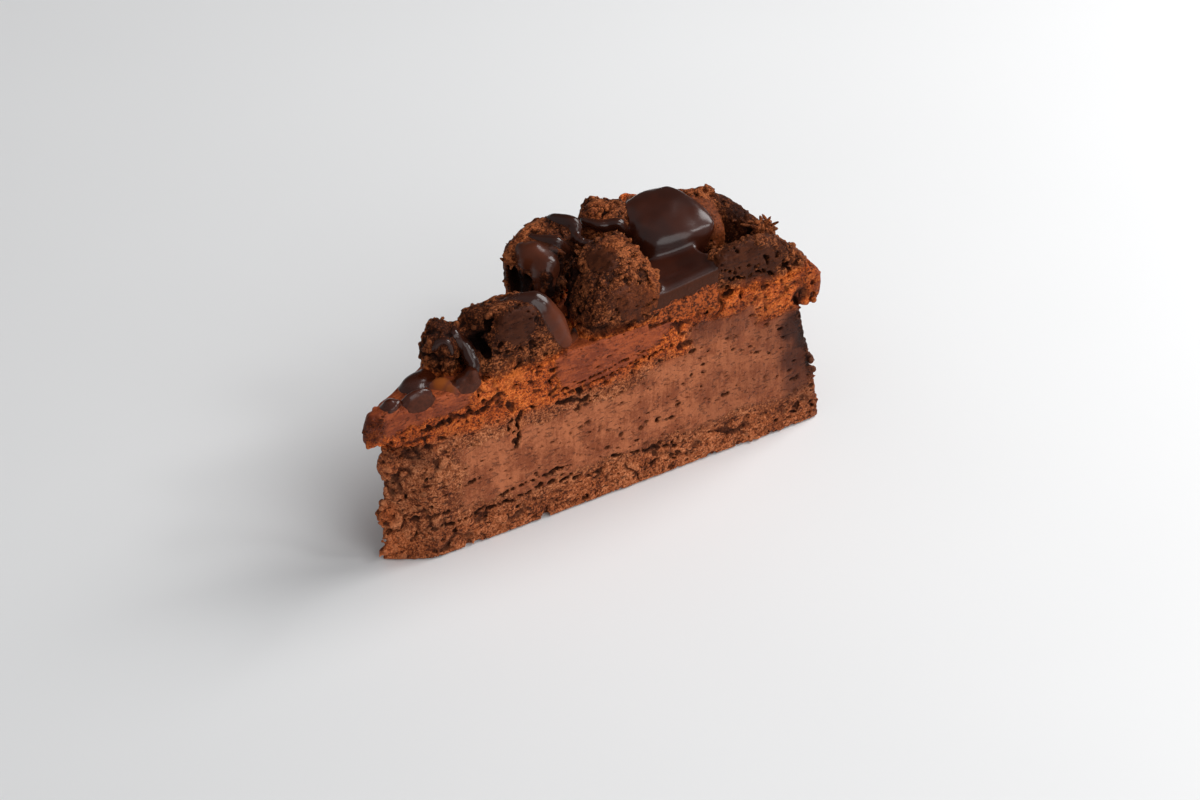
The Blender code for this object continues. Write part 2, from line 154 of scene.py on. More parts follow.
def distances(points, triangles, band=BAND, start=FIRST, shape=SHAPE):
    """The signed distances to a closed mesh over the grid or a part of it, in millimetres."""
    grid = openvdb.FloatGrid.createLevelSetFromPolygons(
        (points / STEP).astype(np.float32), triangles=triangles.astype(np.uint32), halfWidth=float(band)
    )
    values = np.empty(tuple(int(n) for n in shape), np.float32)
    grid.copyToArray(values, ijk=tuple(int(n) for n in start))
    return values * STEP


def surface(field, start, level=0.0, adapt=0.0):
    """Meshes the surface of a field at a level. Its points are given in steps of the grid."""
    grid = openvdb.FloatGrid(float(BAND))
    grid.copyFromArray(field / STEP, ijk=tuple(int(n) for n in start))
    points, triangles, quads = grid.convertToPolygons(level, adapt)
    return points, np.concatenate([triangles, quads[:, [0, 1, 2]], quads[:, [0, 2, 3]]]).astype(np.int64)


def blur(field, passes):
    """Softens a field: each pass mixes every value with its six neighbours."""
    for _ in range(passes):
        for axis in range(3):
            field = field.copy()
            inner = [slice(None)] * 3
            before, after = list(inner), list(inner)
            inner[axis], before[axis], after[axis] = slice(1, -1), slice(0, -2), slice(2, None)
            centre = field[tuple(inner)]
            field[tuple(inner)] = 0.5 * centre + 0.25 * (field[tuple(before)] + field[tuple(after)])
    return field


print("points and triangles of the base:", [len(rows) for rows in mesh_arrays(nodes["crumb_base"])])

# %% [markdown]
# ## Whose crumb is it?
# The relief is carved once for the whole cake, so that it runs on from layer to layer without a seam.
# Afterwards each piece takes the part of the carved cake that lies nearest to it. For that, the grid
# remembers the distance to the nearest solid, to the next nearest, and which solid is the nearest.

# %% Nearest and next nearest solids
names = sorted(nodes)
nearest = np.full(SHAPE, FAR_AWAY, np.float32)
second = np.full(SHAPE, FAR_AWAY, np.float32)
owner = np.full(SHAPE, -1, np.int8)
windows, solid_fields = {}, {}
for index, name in enumerate(names):
    low, high = (np.array(corner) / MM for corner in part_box(name))
    first = np.maximum(np.floor((low - FAR_AWAY) / STEP).astype(int) - FIRST, 0)
    last = np.minimum(np.ceil((high + FAR_AWAY) / STEP).astype(int) - FIRST + 1, SHAPE)
    window = tuple(slice(a, b) for a, b in zip(first, last))
    field = distances(*mesh_arrays(nodes[name]), start=FIRST + first, shape=last - first)
    windows[name], solid_fields[name] = window, field
    closer = field < nearest[window]
    second[window] = np.where(closer, nearest[window], np.minimum(second[window], field))
    owner[window][closer] = index
    nearest[window] = np.minimum(nearest[window], field)
print("solids in the grid:", len(solid_fields))

# %% [markdown]
# ## One body of cake
# The solids stand a third of a millimetre apart. Growing them by that much and meshing the result closes
# the gaps, and the distance to that mesh tells how deep any point lies in the whole cake.

# %% The whole cake's skin
CLOSE = 0.3  # how much the solids grow before they are joined, in millimetres
DEEP_BAND = 12  # this field reaches deeper than the others, in steps of the grid
points, triangles = surface(nearest, FIRST, CLOSE / STEP)
skin = blur(distances(points * STEP, triangles, DEEP_BAND) + CLOSE, 2)
print("skin from", round(float(skin.min()), 2), "to", round(float(skin.max()), 2), "mm")

# %% [markdown]
# ## Helpers for shaping
# A smooth step turns a hard border into a soft one. A cloud is random, but changes smoothly over a given
# size: a coarse lattice of random numbers is stretched over the fine grid with a cubic spline. Clouds of
# several sizes added up look like crumb, as mountains look like mountains on every scale.

# %% Smooth steps and clouds
CLOUD_GAIN = 1.9  # brings a cloud's values to about -1 to 1


def step_up(low, high, value):
    share = np.clip((value - low) / (high - low), 0.0, 1.0)
    return share * share * (3.0 - 2.0 * share)


def step_down(low, high, value):
    return 1.0 - step_up(low, high, value)


def fading(gap, depth):
    """1 where the gap is 0, fading to 0 over about the depth."""
    return np.exp(-((gap / depth) ** 2))


def cloud(size):
    """Smooth random values over the grid, from about -1 to 1, that change over about size millimetres."""
    lattice = rng.uniform(-1.0, 1.0, [int(n * STEP / size) + 5 for n in SHAPE]).astype(np.float32)
    for axis in range(3):
        places = np.arange(SHAPE[axis]) * STEP / size + rng.uniform(1.0, 1.9)
        whole = np.floor(places).astype(int)
        t = (places - whole).astype(np.float32)
        shares = ((1 - t) ** 3, 3 * t**3 - 6 * t**2 + 4, -3 * t**3 + 3 * t**2 + 3 * t + 1, t**3)
        form = [1, 1, 1]
        form[axis] = -1
        lattice = sum(
            lattice.take(whole - 1 + k, axis) * (share / 6.0).reshape(form) for k, share in enumerate(shares)
        )
    return lattice * CLOUD_GAIN


print("a smooth step, a quarter of the way up:", step_up(0.0, 1.0, 0.25))

# %% [markdown]
# ## Gaps to the cuts, the point and the rim
# Three thin arrays hold the grid's own places, counted from the cake's centre, and NumPy stretches them
# over the whole grid when they meet. From them comes how far every point lies from the knife's two cuts,
# from the broken point and from the rim. Each gap is below zero inside the cake.

# %% Where the knife went and where the cake broke
POINT, POINT_OUT = (24.4, -5.6), (-0.674, -0.739)  # a place on the broken point, and the way it faces
CUT_DEPTH = 1.3  # how deep the knife has smoothed the crumb, in millimetres
POINT_DEPTH, RIM_DEPTH = 2.2, 1.8  # how deep the crumb is torn at the point, and baked rough at the rim
TORN_TOP = 37.0  # the topping hides what lies higher

x = ((np.arange(SHAPE[0]) + FIRST[0]) * STEP - CENTRE[0]).reshape(-1, 1, 1).astype(np.float32)
y = ((np.arange(SHAPE[1]) + FIRST[1]) * STEP - CENTRE[1]).reshape(1, -1, 1).astype(np.float32)
z = ((np.arange(SHAPE[2]) + FIRST[2]) * STEP).reshape(1, 1, -1).astype(np.float32)
run = np.sqrt(x * x + y * y)
near_gap = x * NEAR_OUT[0] + y * NEAR_OUT[1]
far_gap = x * FAR_OUT[0] + y * FAR_OUT[1]
point_gap = (x - POINT[0]) * POINT_OUT[0] + (y - POINT[1]) * POINT_OUT[1]
rim_gap = run - RIM + rim_lean(z)
cut = np.maximum(fading(near_gap, CUT_DEPTH), fading(far_gap, CUT_DEPTH))
torn_point = fading(np.minimum(point_gap + 0.5, 0.0), POINT_DEPTH)
torn = np.maximum(torn_point, fading(np.minimum(rim_gap + 0.5, 0.0), RIM_DEPTH)) * (z < TORN_TOP)
print("the knife's faces fill", round(float(cut.mean()) * 100, 1), "% of the plan")

# %% [markdown]
# ## What lies where
# At the cut, some areas are open, orange crumb and others are smooth and brown, where the knife has
# dragged fudge or ganache along. One field holds this: 1 is open crumb and 0 is smooth. More fields hold
# how far each point belongs to the crumb base, to the topping and to the brownie pieces. They steer the
# relief now and the colours later. Clouds make all the borders wander, as no baker's layer ends in a line.

# %% Whose point is it?
GLOSSY = ("chocolate", "ganache_pour")  # how the names of the smooth, glossy pieces start
wander_run = run + 2.6 * cloud(6.0) + 1.2 * cloud(1.7)
wander_z = z + 1.5 * cloud(5.0) + 1.0 * cloud(1.5)
of_node = {name: owner == index for index, name in enumerate(names)}
of_brownie = np.logical_or.reduce([where for name, where in of_node.items() if name.startswith("brownie")])
print("brownie fills", round(float(of_brownie.mean()) * 100, 1), "% of the grid")

# %% [markdown]
# ## Open crumb in the fudge and the topping
# The fudge is crumbly at the point, under the topping, just over the base and where it is torn. The topping
# is open crumb too, apart from three stretches: the middle and the end near the rim, where ganache was
# dragged over the cut, and the ganache that hangs over the point.

# %% Crumb of the two thick layers
fudge_crumb = np.maximum.reduce([
    0.85 * step_down(25.0, 40.0, wander_run),
    0.85 * step_up(27.5, 30.5, wander_z) * step_down(78.0, 96.0, wander_run),
    0.60 * step_down(10.0, 13.0, wander_z),
    0.85 * torn,
    np.full(SHAPE, 0.12, np.float32),
])
smooth_middle = step_up(56.5, 60.0, wander_run) * step_down(88.0, 94.0, wander_run - 1.2 * (wander_z - 40.0))
smooth_middle = smooth_middle * step_up(34.5, 36.2, wander_z)
smooth_tip = step_down(34.0, 40.0, wander_run) * step_up(39.4, 41.0, wander_z - 0.06 * (run - 20.0))
smooth_tip_share = 0.55 + 0.4 * step_up(10.0, 15.0, run)
smooth_rim = step_up(96.0, 101.0, wander_run) * step_down(114.0, 121.0, wander_run)
smooth_rim = smooth_rim * step_down(38.8, 41.2, wander_z)
topping_crumb = 1.0 - np.maximum.reduce([smooth_middle, smooth_tip_share * smooth_tip, 0.85 * smooth_rim])
print("open crumb in the topping:", round(float(topping_crumb.mean()), 2))

# %% [markdown]
# ## Open crumb on the brownie
# The pieces are torn nearly all round. The knife left flat, closed panels on their near side, and ganache
# has soaked into some places from above and closed the crumb there.

# %% Crumb of the brownie pieces
def offsets(spot, part=(slice(None),) * 3):
    """How far the grid's points, or a part of them, lie from a spot along x, y and z."""
    return x[part[0]] - spot[0], y[:, part[1]] - spot[1], z[:, :, part[2]] - spot[2]


# Run, height, half length, half height and strength of the smooth panels on the near side of the brownie.
PANELS = (
    (48.5, 57.4, 5.2, 5.8, 0.85), (81.2, 50.5, 4.2, 2.2, 0.85), (116.5, 52.0, 9.0, 5.5, 0.85),
    (110.0, 56.0, 5.0, 3.0, 0.85), (86.0, 54.0, 3.0, 1.5, 0.85), (80.0, 55.0, 6.5, 5.5, 0.45),
)
brownie_crumb = 1.0 - 0.5 * step_up(0.15, 0.45, cloud(6.0))
for place_run, height, half_length, half_height, strength in PANELS:
    off = np.sqrt(((wander_run - place_run) / half_length) ** 2 + ((wander_z - height) / half_height) ** 2)
    brownie_crumb *= 1.0 - strength * step_down(0.7, 1.25, off) * step_up(-3.5, -2.0, near_gap)

# Middle and reach of places on the brownie pieces where ganache has soaked in and closed the crumb.
SOAKED = (
    ((81.0, -7.5, 60.5), 5.0), ((117.5, -8.0, 59.5), 5.5), ((117.5, -13.5, 55.5), 5.0),
    ((74.0, 6.0, 61.0), 4.0),
)
for spot, reach in SOAKED:
    off = np.sqrt(sum(along**2 for along in offsets(spot))) + 1.2 * cloud(2.0)
    brownie_crumb *= 1.0 - 0.9 * step_down(0.6 * reach, reach, off)
brownie_crumb[of_node["brownie_shard"]] *= 0.4
print("panels:", len(PANELS), " soaked places:", len(SOAKED))

# %% [markdown]
# ## One field of crumb
# Each piece now takes its own kind of crumb into the common field. The top of the ganache bed is smooth, and
# the foot of the cut pool is dusted with crumb. Blurring softens the borders from piece to piece.

# %% Crumb of the whole cake
crumb = np.full(SHAPE, 0.85, np.float32)
for name, mine in of_node.items():
    if name == "fudge_layer":
        crumb[mine] = fudge_crumb[mine]
    elif name in ("sponge_layer", "ganache_bed"):
        crumb[mine] = topping_crumb[mine]
    elif name.startswith(GLOSSY):
        crumb[mine] = 0.0
crumb[of_brownie] = brownie_crumb[of_brownie]
top_of_bed = of_node["ganache_bed"] & (z > 43.5) & np.broadcast_to((cut < 0.25) & (run < 130.0), SHAPE)
crumb[top_of_bed] = 0.1
crumb = blur(crumb, 2)
foot_of_pool = of_node["ganache_pour"] * step_down(49.4, 50.8, wander_z - 0.06 * (run - 98.0))
foot_of_pool = foot_of_pool * step_up(-1.6, -0.8, near_gap)
crumb = np.maximum(crumb, 0.9 * foot_of_pool)
del fudge_crumb, smooth_middle, smooth_tip, topping_crumb, brownie_crumb, off  # big fields, no longer needed
print("open crumb:", round(float(crumb.mean()), 2))

# %% [markdown]
# ## What belongs to which layer
# The base, the topping and the brownie have colours of their own, and a share of each is kept for every
# point. Lumpy is where the relief is deepest: the base, the topping, the brownie and all that is torn.

# %% Shares of the layers
brownie = blur((of_brownie | of_node["ganache_pour"]).astype(np.float32), 3)
brownie *= step_up(45.0, 48.5, wander_z)
base = step_down(6.8, 9.4, wander_z)
topping = step_up(31.6, 35.2, wander_z - 1.5 * step_up(100.0, 135.0, run)) * (1.0 - 0.85 * smooth_rim)
lumpy_end = 0.3 * step_down(28.0, 40.0, wander_run)
lumpy = np.maximum.reduce([base, 0.85 * topping, 0.8 * brownie, torn, lumpy_end])
del smooth_rim, torn, rim_gap, wander_z
print("base:", round(float(base.mean()), 2), " topping:", round(float(topping.mean()), 2))

# %% [markdown]
# ## Strands, drips and dabs of ganache
# Warm ganache was trickled over the top. It set as round strands that lie half sunk on the brownie pieces,
# and it ran down in drips. Each one is a path of places on the skin with a thickness at each. A smooth
# curve is drawn through them, sunk by a share of its thickness, and balls are strung close along it.

# %% A smooth curve through given places
def smooth_path(points, steps):
    """A curve through the given points, in short steps."""
    points = [np.array(p, float) for p in points]
    ends = [2 * points[0] - points[1], *points, 2 * points[-1] - points[-2]]
    path = []
    for a, b, c, d in zip(ends, ends[1:], ends[2:], ends[3:]):
        for t in np.arange(steps) / steps:
            path.append(
                b + (c - a) * (0.5 * t) + (2 * a - 5 * b + 4 * c - d) * (0.5 * t * t)
                + (3 * b - a - 3 * c + d) * (0.5 * t**3)
            )
    return np.array([*path, points[-1]])


print("points on a bend:", len(smooth_path([(0, 0), (1, 1), (2, 0)], 14)))

# %% [markdown]
# ## Reading a field and adding balls to it
# A place seldom falls on a grid point, so its value is mixed from the eight grid points round it. A ball, or
# an ellipsoid, changes the field in a small window only, which keeps thousands of them quick.

# %% Values at a place, and balls
def at(field, places):
    """The field's values at places in millimetres from the cake's centre."""
    local = (np.asarray(places) + CENTRE) / STEP - FIRST
    local = np.clip(local, 0, np.array(SHAPE) - 1.001)
    whole = np.floor(local).astype(int)
    t = local - whole
    total = 0.0
    for corner in np.ndindex(2, 2, 2):
        share = np.prod(np.where(corner, t, 1 - t), axis=-1)
        total = total + share * field[tuple((whole + corner).T)]
    return total


def ball(field, centre, half, axes=None, cutting=False, spread=0.8):
    """Unites an ellipsoid with a field, or cuts it out. Half is its three half sizes along its axes."""
    reach = max(half) + spread
    low = np.maximum(np.floor((centre + CENTRE - reach) / STEP).astype(int) - FIRST, 0)
    high = np.minimum(np.ceil((centre + CENTRE + reach) / STEP).astype(int) - FIRST + 1, SHAPE)
    if (high <= low).any():
        return
    part = tuple(slice(a, b) for a, b in zip(low, high))
    dx, dy, dz = offsets(centre, part)
    axes = np.eye(3) if axes is None else axes
    square = 1e-6
    for axis, size in zip(axes, half):
        square = square + ((dx * axis[0] + dy * axis[1] + dz * axis[2]) / size) ** 2
    stretch = np.sqrt(square)
    distance = (stretch - 1.0) / stretch * np.sqrt(dx * dx + dy * dy + dz * dz + 1e-6)
    window = field[part]
    if cutting:
        np.maximum(window, -distance, out=window)
    else:
        np.minimum(window, distance, out=window)


print("the fudge's middle lies", round(float(-at(skin, on_cut(90.0, 15.0, 20.0))), 1), "mm under the skin")

# %% [markdown]
# ## Where the ganache ran
# Every point of a path is a place on the skin, followed by the path's thickness there, all in millimetres.

# %% Ways of the strands
STRANDS = (
    # the long drip between the small and the cut piece, which ends at a cut drop
    ((37.9, -0.2, 57.8, 0.6), (37.0, -1.3, 57.0, 1.0), (37.9, -2.0, 54.0, 1.5), (38.0, -3.4, 51.3, 1.6),
     (37.2, -5.1, 49.4, 1.5), (36.3, -6.6, 48.5, 1.6), (35.7, -7.6, 47.6, 1.5)),
    # a thin arc on the small piece
    ((31.2, 0.5, 54.0, 0.4), (31.9, -0.1, 55.9, 0.6), (33.0, -1.4, 56.5, 0.7), (33.9, -2.4, 55.2, 0.6),
     (34.2, -2.8, 52.9, 0.3)),
    # strands over the far piece
    ((84.9, 14.4, 61.6, 1.1), (84.7, 12.4, 62.1, 1.6), (85.1, 8.7, 62.9, 1.8), (86.1, 5.7, 61.9, 1.7),
     (86.2, 2.8, 59.6, 1.1)),
    ((75.5, 11.6, 61.5, 0.7), (76.4, 8.6, 61.7, 1.1), (78.4, 5.2, 61.2, 1.2), (80.6, 3.2, 59.4, 0.9)),
    # a strand over the one behind
    ((92.1, 10.4, 59.2, 0.8), (93.0, 7.2, 58.9, 1.2), (95.0, 5.4, 58.8, 1.3), (97.0, 3.2, 59.2, 1.2),
     (99.0, 2.4, 56.8, 0.9)),
    # what ran between the cut and the middle piece
    ((62.6, -10.2, 50.5, 0.8), (65.5, -10.4, 47.0, 1.1), (68.0, -9.6, 45.9, 1.2), (70.0, -8.4, 45.6, 0.8)),
    # the caramel spot near the point
    ((28.6, -0.6, 45.4, 1.4), (30.2, -2.2, 45.8, 2.2), (31.0, -4.0, 45.6, 2.0), (31.4, -5.6, 45.2, 1.4)),
    # a rim of glaze round the drops near the point
    ((14.2, -1.6, 45.8, 0.5), (17.2, -1.8, 47.0, 0.8), (19.6, -2.8, 47.9, 0.9), (22.0, -3.4, 48.2, 0.8),
     (25.2, -4.2, 47.4, 0.6)),
)
print("strands:", len(STRANDS))

# %% [markdown]
# ## Films, and laying it all on the skin
# Films are wider and lie flatter, so more of their thickness is sunk. A film is also uneven, and lets the
# crumb through in places. The strands come after, so they stay round.

# %% Films and strands on the skin
FILMS = (
    # over the end of the cut piece and down to the bed
    ((50.1, -3.8, 61.0, 1.2), (53.5, -7.3, 61.8, 2.0), (56.4, -9.9, 60.8, 3.0), (58.4, -11.4, 57.4, 3.6),
     (60.4, -12.3, 53.6, 3.2), (62.0, -12.7, 50.4, 2.2), (63.6, -12.6, 47.6, 1.2)),
    # down the side of the far piece
    ((70.3, 10.0, 60.9, 2.0), (69.2, 7.2, 59.7, 3.6), (69.0, 4.9, 58.0, 3.6), (69.6, 4.0, 54.5, 2.8),
     (70.0, 3.8, 51.0, 2.2)),
)
NO_GLAZE = 4.0  # the distance to the ganache, in millimetres, that the field starts with
FILM_SUNK, STRAND_SUNK = 0.80, 0.25  # the shares of their thickness that lie under the skin
PROBE = 0.8  # how far to both sides the skin is read to find the way in, in millimetres

glaze = np.full(SHAPE, NO_GLAZE, np.float32)
for ways, sunk in ((FILMS, FILM_SUNK), (STRANDS, STRAND_SUNK)):
    for way in ways:
        for *spot, thick in smooth_path(way, 14):
            spot = np.array(spot)
            inward = np.array([at(skin, spot - unit) - at(skin, spot + unit) for unit in np.eye(3) * PROBE])
            spot = spot + inward / max(np.linalg.norm(inward), 1e-6) * (sunk * thick + at(skin, spot))
            ball(glaze, spot, (thick,) * 3, spread=1.6)
    if ways is FILMS:
        glaze += 0.22 * (wander_run - run)
del wander_run
print("films:", len(FILMS), " points under ganache:", int((glaze < 0.0).sum()))

# %% [markdown]
# ## Corners that have worn round
# The ganache over the broken point, the rim's near corner and the point itself have no sharp corners left.
# Near each of them the skin is blurred, and the blur fades out towards the rest.

# %% Worn corners
def wear(field, middle, reach, passes):
    """Rounds the skin near a point by blurring the field there."""
    low = np.maximum(np.floor((middle + CENTRE - reach) / STEP).astype(int) - FIRST - passes // 4, 0)
    high = np.minimum(np.ceil((middle + CENTRE + reach) / STEP).astype(int) - FIRST + passes // 4, SHAPE)
    part = tuple(slice(a, b) for a, b in zip(low, high))
    off = np.sqrt(sum(along**2 for along in offsets(middle, part)))
    share = step_down(0.55 * reach, reach, off)
    field[part] = field[part] * (1.0 - share) + blur(field[part], passes) * share


wear(skin, np.array([9.0, 0.0, 41.5]), 9.0, 16)
wear(skin, on_cut(138.0, 1.0, 43.0), 8.0, 16)
wear(skin, np.array([20.0, -3.0, 20.0]), 22.0, 6)
print("skin after wear from", round(float(skin.min()), 2), "mm")

# %% [markdown]
# ## Larger lumps
# Lumps of crumb stick out of the broken point and, smaller, all round the baked rim and along its corner
# with the near cut. Each is an ellipsoid that lies at random and is united with the skin.

# %% Lumps at the point and on the rim
def lie_of(out):
    """Axes at a spot on the skin: along the layers, up the face, and into the cake."""
    level = np.cross(UP, out)
    if np.linalg.norm(level) < 0.3:
        level = rng.normal(size=3)
        level -= out * (level @ out)
    level /= np.linalg.norm(level)
    return np.array([level, np.cross(out, level), out])


def any_lie():
    """Axes that lie at random."""
    return lie_of(rng.normal(size=3))


def on_rim(reach, turn, height):
    """A point by its reach from the cake's centre, its turn (-1 to 1 across the slice) and its height."""
    return reach * math.cos(HALF_ANGLE * turn), reach * math.sin(HALF_ANGLE * turn), height


# Places and sizes of the larger lumps: the broken point, and a knob behind the glaze.
LUMPS = [
    ((8.8, -0.9, 43.2), 2.4), ((9.4, -1.5, 40.6), 1.6), ((9.0, 0.9, 42.0), 1.9), ((10.8, -1.8, 45.0), 1.5),
    ((12.5, -2.4, 38.2), 1.1), ((15.5, -3.0, 37.0), 1.0), ((14.7, 2.7, 13.6), 2.5), ((15.6, 1.4, 11.4), 1.7),
    ((15.2, 2.5, 16.6), 1.5), ((16.3, 1.6, 28.4), 1.9), ((16.3, 1.2, 25.4), 1.4), ((15.3, 2.3, 3.2), 1.8),
    ((15.7, 2.1, 7.6), 1.2), ((121.8, -1.4, 60.2), 1.6), ((123.5, -2.6, 60.0), 1.2),
]
RIM_SKIN = 138.6  # the middles of the rim's lumps lie about this far from the cake's centre
for turn in np.linspace(-0.93, 0.93, 34):
    reach = RIM_SKIN + rng.uniform(-1.0, 0.5) - 8.0 * max(0.0, (turn - 0.1) / 0.9) ** 2
    LUMPS.append((on_rim(reach, turn, rng.uniform(34.5, 41.5)), rng.uniform(0.6, 1.5)))
for turn in np.linspace(-0.96, 0.96, 110):
    height = rng.uniform(1.0, FUDGE_TOP)
    reach = RIM_SKIN - rim_lean(height) + rng.uniform(-0.4, 0.2)
    LUMPS.append((on_rim(reach, turn, height), rng.uniform(0.5, 1.3)))
for height in np.arange(1.0, 34.0, 1.5):
    reach = 138.2 - rim_lean(height) + rng.uniform(-0.5, 0.4)
    LUMPS.append((on_cut(reach, 1.3, height + rng.uniform(-0.5, 0.5)), rng.uniform(0.5, 1.1)))
for spot, size in LUMPS:
    ball(skin, np.array(spot), size * rng.uniform(0.7, 1.2, 3), any_lie(), spread=2.0)
print("lumps:", len(LUMPS))

# %% [markdown]
# ## The torn surface
# Lumps of one size need creases of that size between them, so the relief is a sum of clouds with grooves
# along the lines where two more clouds pass through zero. It is deepest where the crumb is open.

# %% Rough skin
# Size of each cloud of relief, its height on smooth places, and what open crumb adds, all in millimetres.
RELIEF = ((3.6, 0.08, 0.14), (1.6, 0.02, 0.20), (0.9, 0.01, 0.17))
# Size, width and depth of the creases between lumps.
CREASES = ((3.1, 0.12, 0.95), (1.6, 0.16, 0.60))

relief = sum((smooth + more * crumb) * cloud(size) for size, smooth, more in RELIEF)
relief *= 1.0 - 0.35 * cut
relief += 0.06 * crumb
deep = lumpy * crumb * (0.35 + 0.65 * step_up(-0.15, 0.3, cloud(4.5)))
relief += deep * sum(depth * fading(cloud(size), width) for size, width, depth in CREASES)
relief -= 0.22 * deep
relief = relief * step_up(0.2, 1.6, z) - 0.15 * step_down(0.2, 1.6, z)  # the foot is pressed flat
body = skin + relief
uncut = body.copy()
print("relief up to", round(float(np.abs(relief).max()), 2), "mm")
del relief, deep

# %% [markdown]
# ## Spots to work on
# Pores and crumbs are scattered over the skin. The grid points next to it serve as spots, and for each one
# the fields tell which way is out, how open the crumb is, whether it lies on a cut, under ganache or on a
# ridge, and how lumpy it is there.

# %% Spots on the skin
ridge = step_up(0.06, 0.45, blur(skin, 8) - skin)
on_skin = np.flatnonzero(np.abs(skin) < 0.5 * STEP)
spots = np.stack(np.unravel_index(on_skin, SHAPE), -1)
places = (spots + FIRST) * STEP - CENTRE
slopes = np.stack([
    skin[tuple(np.minimum(spots + unit, np.array(SHAPE) - 1).T)] - skin[tuple(np.maximum(spots - unit, 0).T)]
    for unit in np.eye(3, dtype=int)
], -1)
outward = slopes / np.maximum(np.linalg.norm(slopes, axis=1, keepdims=True), 1e-6)
spot_crumb = crumb.ravel()[on_skin]
spot_owner = owner.ravel()[on_skin]
spot_cut = np.broadcast_to(cut, SHAPE).ravel()[on_skin]
spot_glaze = glaze.ravel()[on_skin]
spot_ridge = ridge.ravel()[on_skin]
spot_lumpy = lumpy.ravel()[on_skin]
area = len(spots) * STEP * STEP / 100.0
print("skin of about", round(area), "square centimetres")
del ridge, lumpy


def pick(per_square_cm, where):
    """Random spots on the skin, so many to the square centimetre, kept with the given likelihood."""
    chosen = rng.integers(0, len(spots), int(per_square_cm * area))
    return chosen[rng.random(len(chosen)) < where[chosen]]


dull = np.array([not name.startswith(GLOSSY) for name in names])
kept = (spot_glaze > 0.6) & dull[spot_owner]
crumbly = kept * spot_crumb

# %% [markdown]
# ## Pores
# Baking leaves pores. Each is cut out as three ellipsoids side by side, so that none looks round, and most
# are small. On the smooth cuts they are rare, flat and drawn out along the knife's way.

# %% Pores
open_pores = pick(34, crumbly * (0.35 + 0.65 * spot_cut) * (0.25 + 0.75 * spot_lumpy))
for k in open_pores:
    size = 0.22 + 0.44 * rng.random() ** 4
    spot = places[k] - outward[k] * 0.1
    for _ in range(3):
        half = size * rng.uniform((0.7, 0.5, 0.9), (1.7, 0.9, 1.4))
        ball(body, spot, half, lie_of(outward[k] + rng.normal(0.0, 0.4, 3)), True)
        spot = spot + rng.normal(0.0, 0.7 * size, 3)
flat_pores = pick(6, kept * spot_cut * (1.0 - spot_crumb))
for k in flat_pores:
    size = 0.17 + 0.25 * rng.random() ** 2
    half = (size * rng.uniform(1.2, 3.0), size, rng.uniform(0.4, 0.9))
    ball(body, places[k], half, lie_of(outward[k]), True)
print("pores:", len(open_pores), "in open crumb,", len(flat_pores), "on smooth cuts")

# %% [markdown]
# ## Broken edges
# Along ridges the crumb chips away, and some of it stays there as small lumps. So bites are taken from the
# ridges, and then crumbs are set on them.

# %% Broken edges
bites = pick(16, crumbly * spot_ridge)
for k in bites:
    size = rng.uniform(0.4, 1.3)
    ball(body, places[k] + outward[k] * 0.30 * size, size * rng.uniform(0.6, 1.5, 3), any_lie(), True)
left_on = pick(40, crumbly * spot_ridge)
for k in left_on:
    size = 0.30 + 0.80 * rng.random() ** 3
    ball(body, places[k] + outward[k] * rng.uniform(-0.4, 0.2), size * rng.uniform(0.6, 1.4, 3), any_lie())
print("bites from the ridges:", len(bites), " crumbs left on them:", len(left_on))

# %% [markdown]
# ## Shreds
# Where a moist piece was torn, thin shreds stick out. Each is a narrow ellipsoid that leans out of the skin.

# %% Shreds
# Places and numbers of the shreds: two on the far piece, and two at the rim.
SHREDS = (
    ((68.3, 12.0, 57.5), 9), ((68.0, 12.0, 51.5), 7), ((127.0, -19.0, 55.5), 9), ((124.0, -14.0, 56.0), 4),
)
for spot, number in SHREDS:
    for k in rng.choice(np.flatnonzero(np.linalg.norm(places - spot, axis=1) < 2.6), number):
        lean = outward[k] + rng.normal(0.0, 0.7, 3)
        lean /= np.linalg.norm(lean)
        ball(body, places[k] + lean * 0.5, (0.5, 0.4, rng.uniform(1.0, 2.0)), lie_of(lean))
print("shreds:", sum(number for _, number in SHREDS))

# %% [markdown]
# ## Crumbs
# Small crumbs stick to every open place, but the knife has swept nearly all of them off the cuts.

# %% Crumbs
stuck = pick(24, crumbly * (1.0 - 0.90 * spot_cut))
for k in stuck:
    size = 0.28 + 0.55 * rng.random() ** 3
    ball(body, places[k] + outward[k] * rng.uniform(-0.35, 0.10), size * rng.uniform(0.7, 1.3, 3))
print("crumbs stuck to the skin:", len(stuck))

# %% [markdown]
# ## Cracks
# Cutting tears the crumb along its weak lines. A crack is a row of pores along a path on the near cut. The
# larger ones have places of their own, given by run and height, then the size of their pores in
# millimetres and the share of pores that is left out.

# %% Cracks of the cut face
CRACK_DEPTH = 1.6


def crack(way, size, gaps):
    """A row of pores along a way on the near cut face, given by run and height, with some left out."""
    path = smooth_path([on_cut(r, 0.0, h) for r, h in way], 40)
    last = path[0]
    for spot in path:
        if np.linalg.norm(spot - last) < 0.8 * size:
            continue
        ahead = (spot - last) / np.linalg.norm(spot - last)
        last = spot
        if rng.random() < gaps:
            continue
        thick = size * rng.uniform(0.35, 1.15)
        axes = np.array([ahead, np.cross(NEAR_OUT, ahead), NEAR_OUT])
        spot = spot + axes[1] * rng.normal(0.0, 0.45 * size)
        half = (thick * rng.uniform(1.0, 2.0), thick, CRACK_DEPTH * rng.uniform(0.6, 1.2))
        ball(body, spot, half, axes, True)


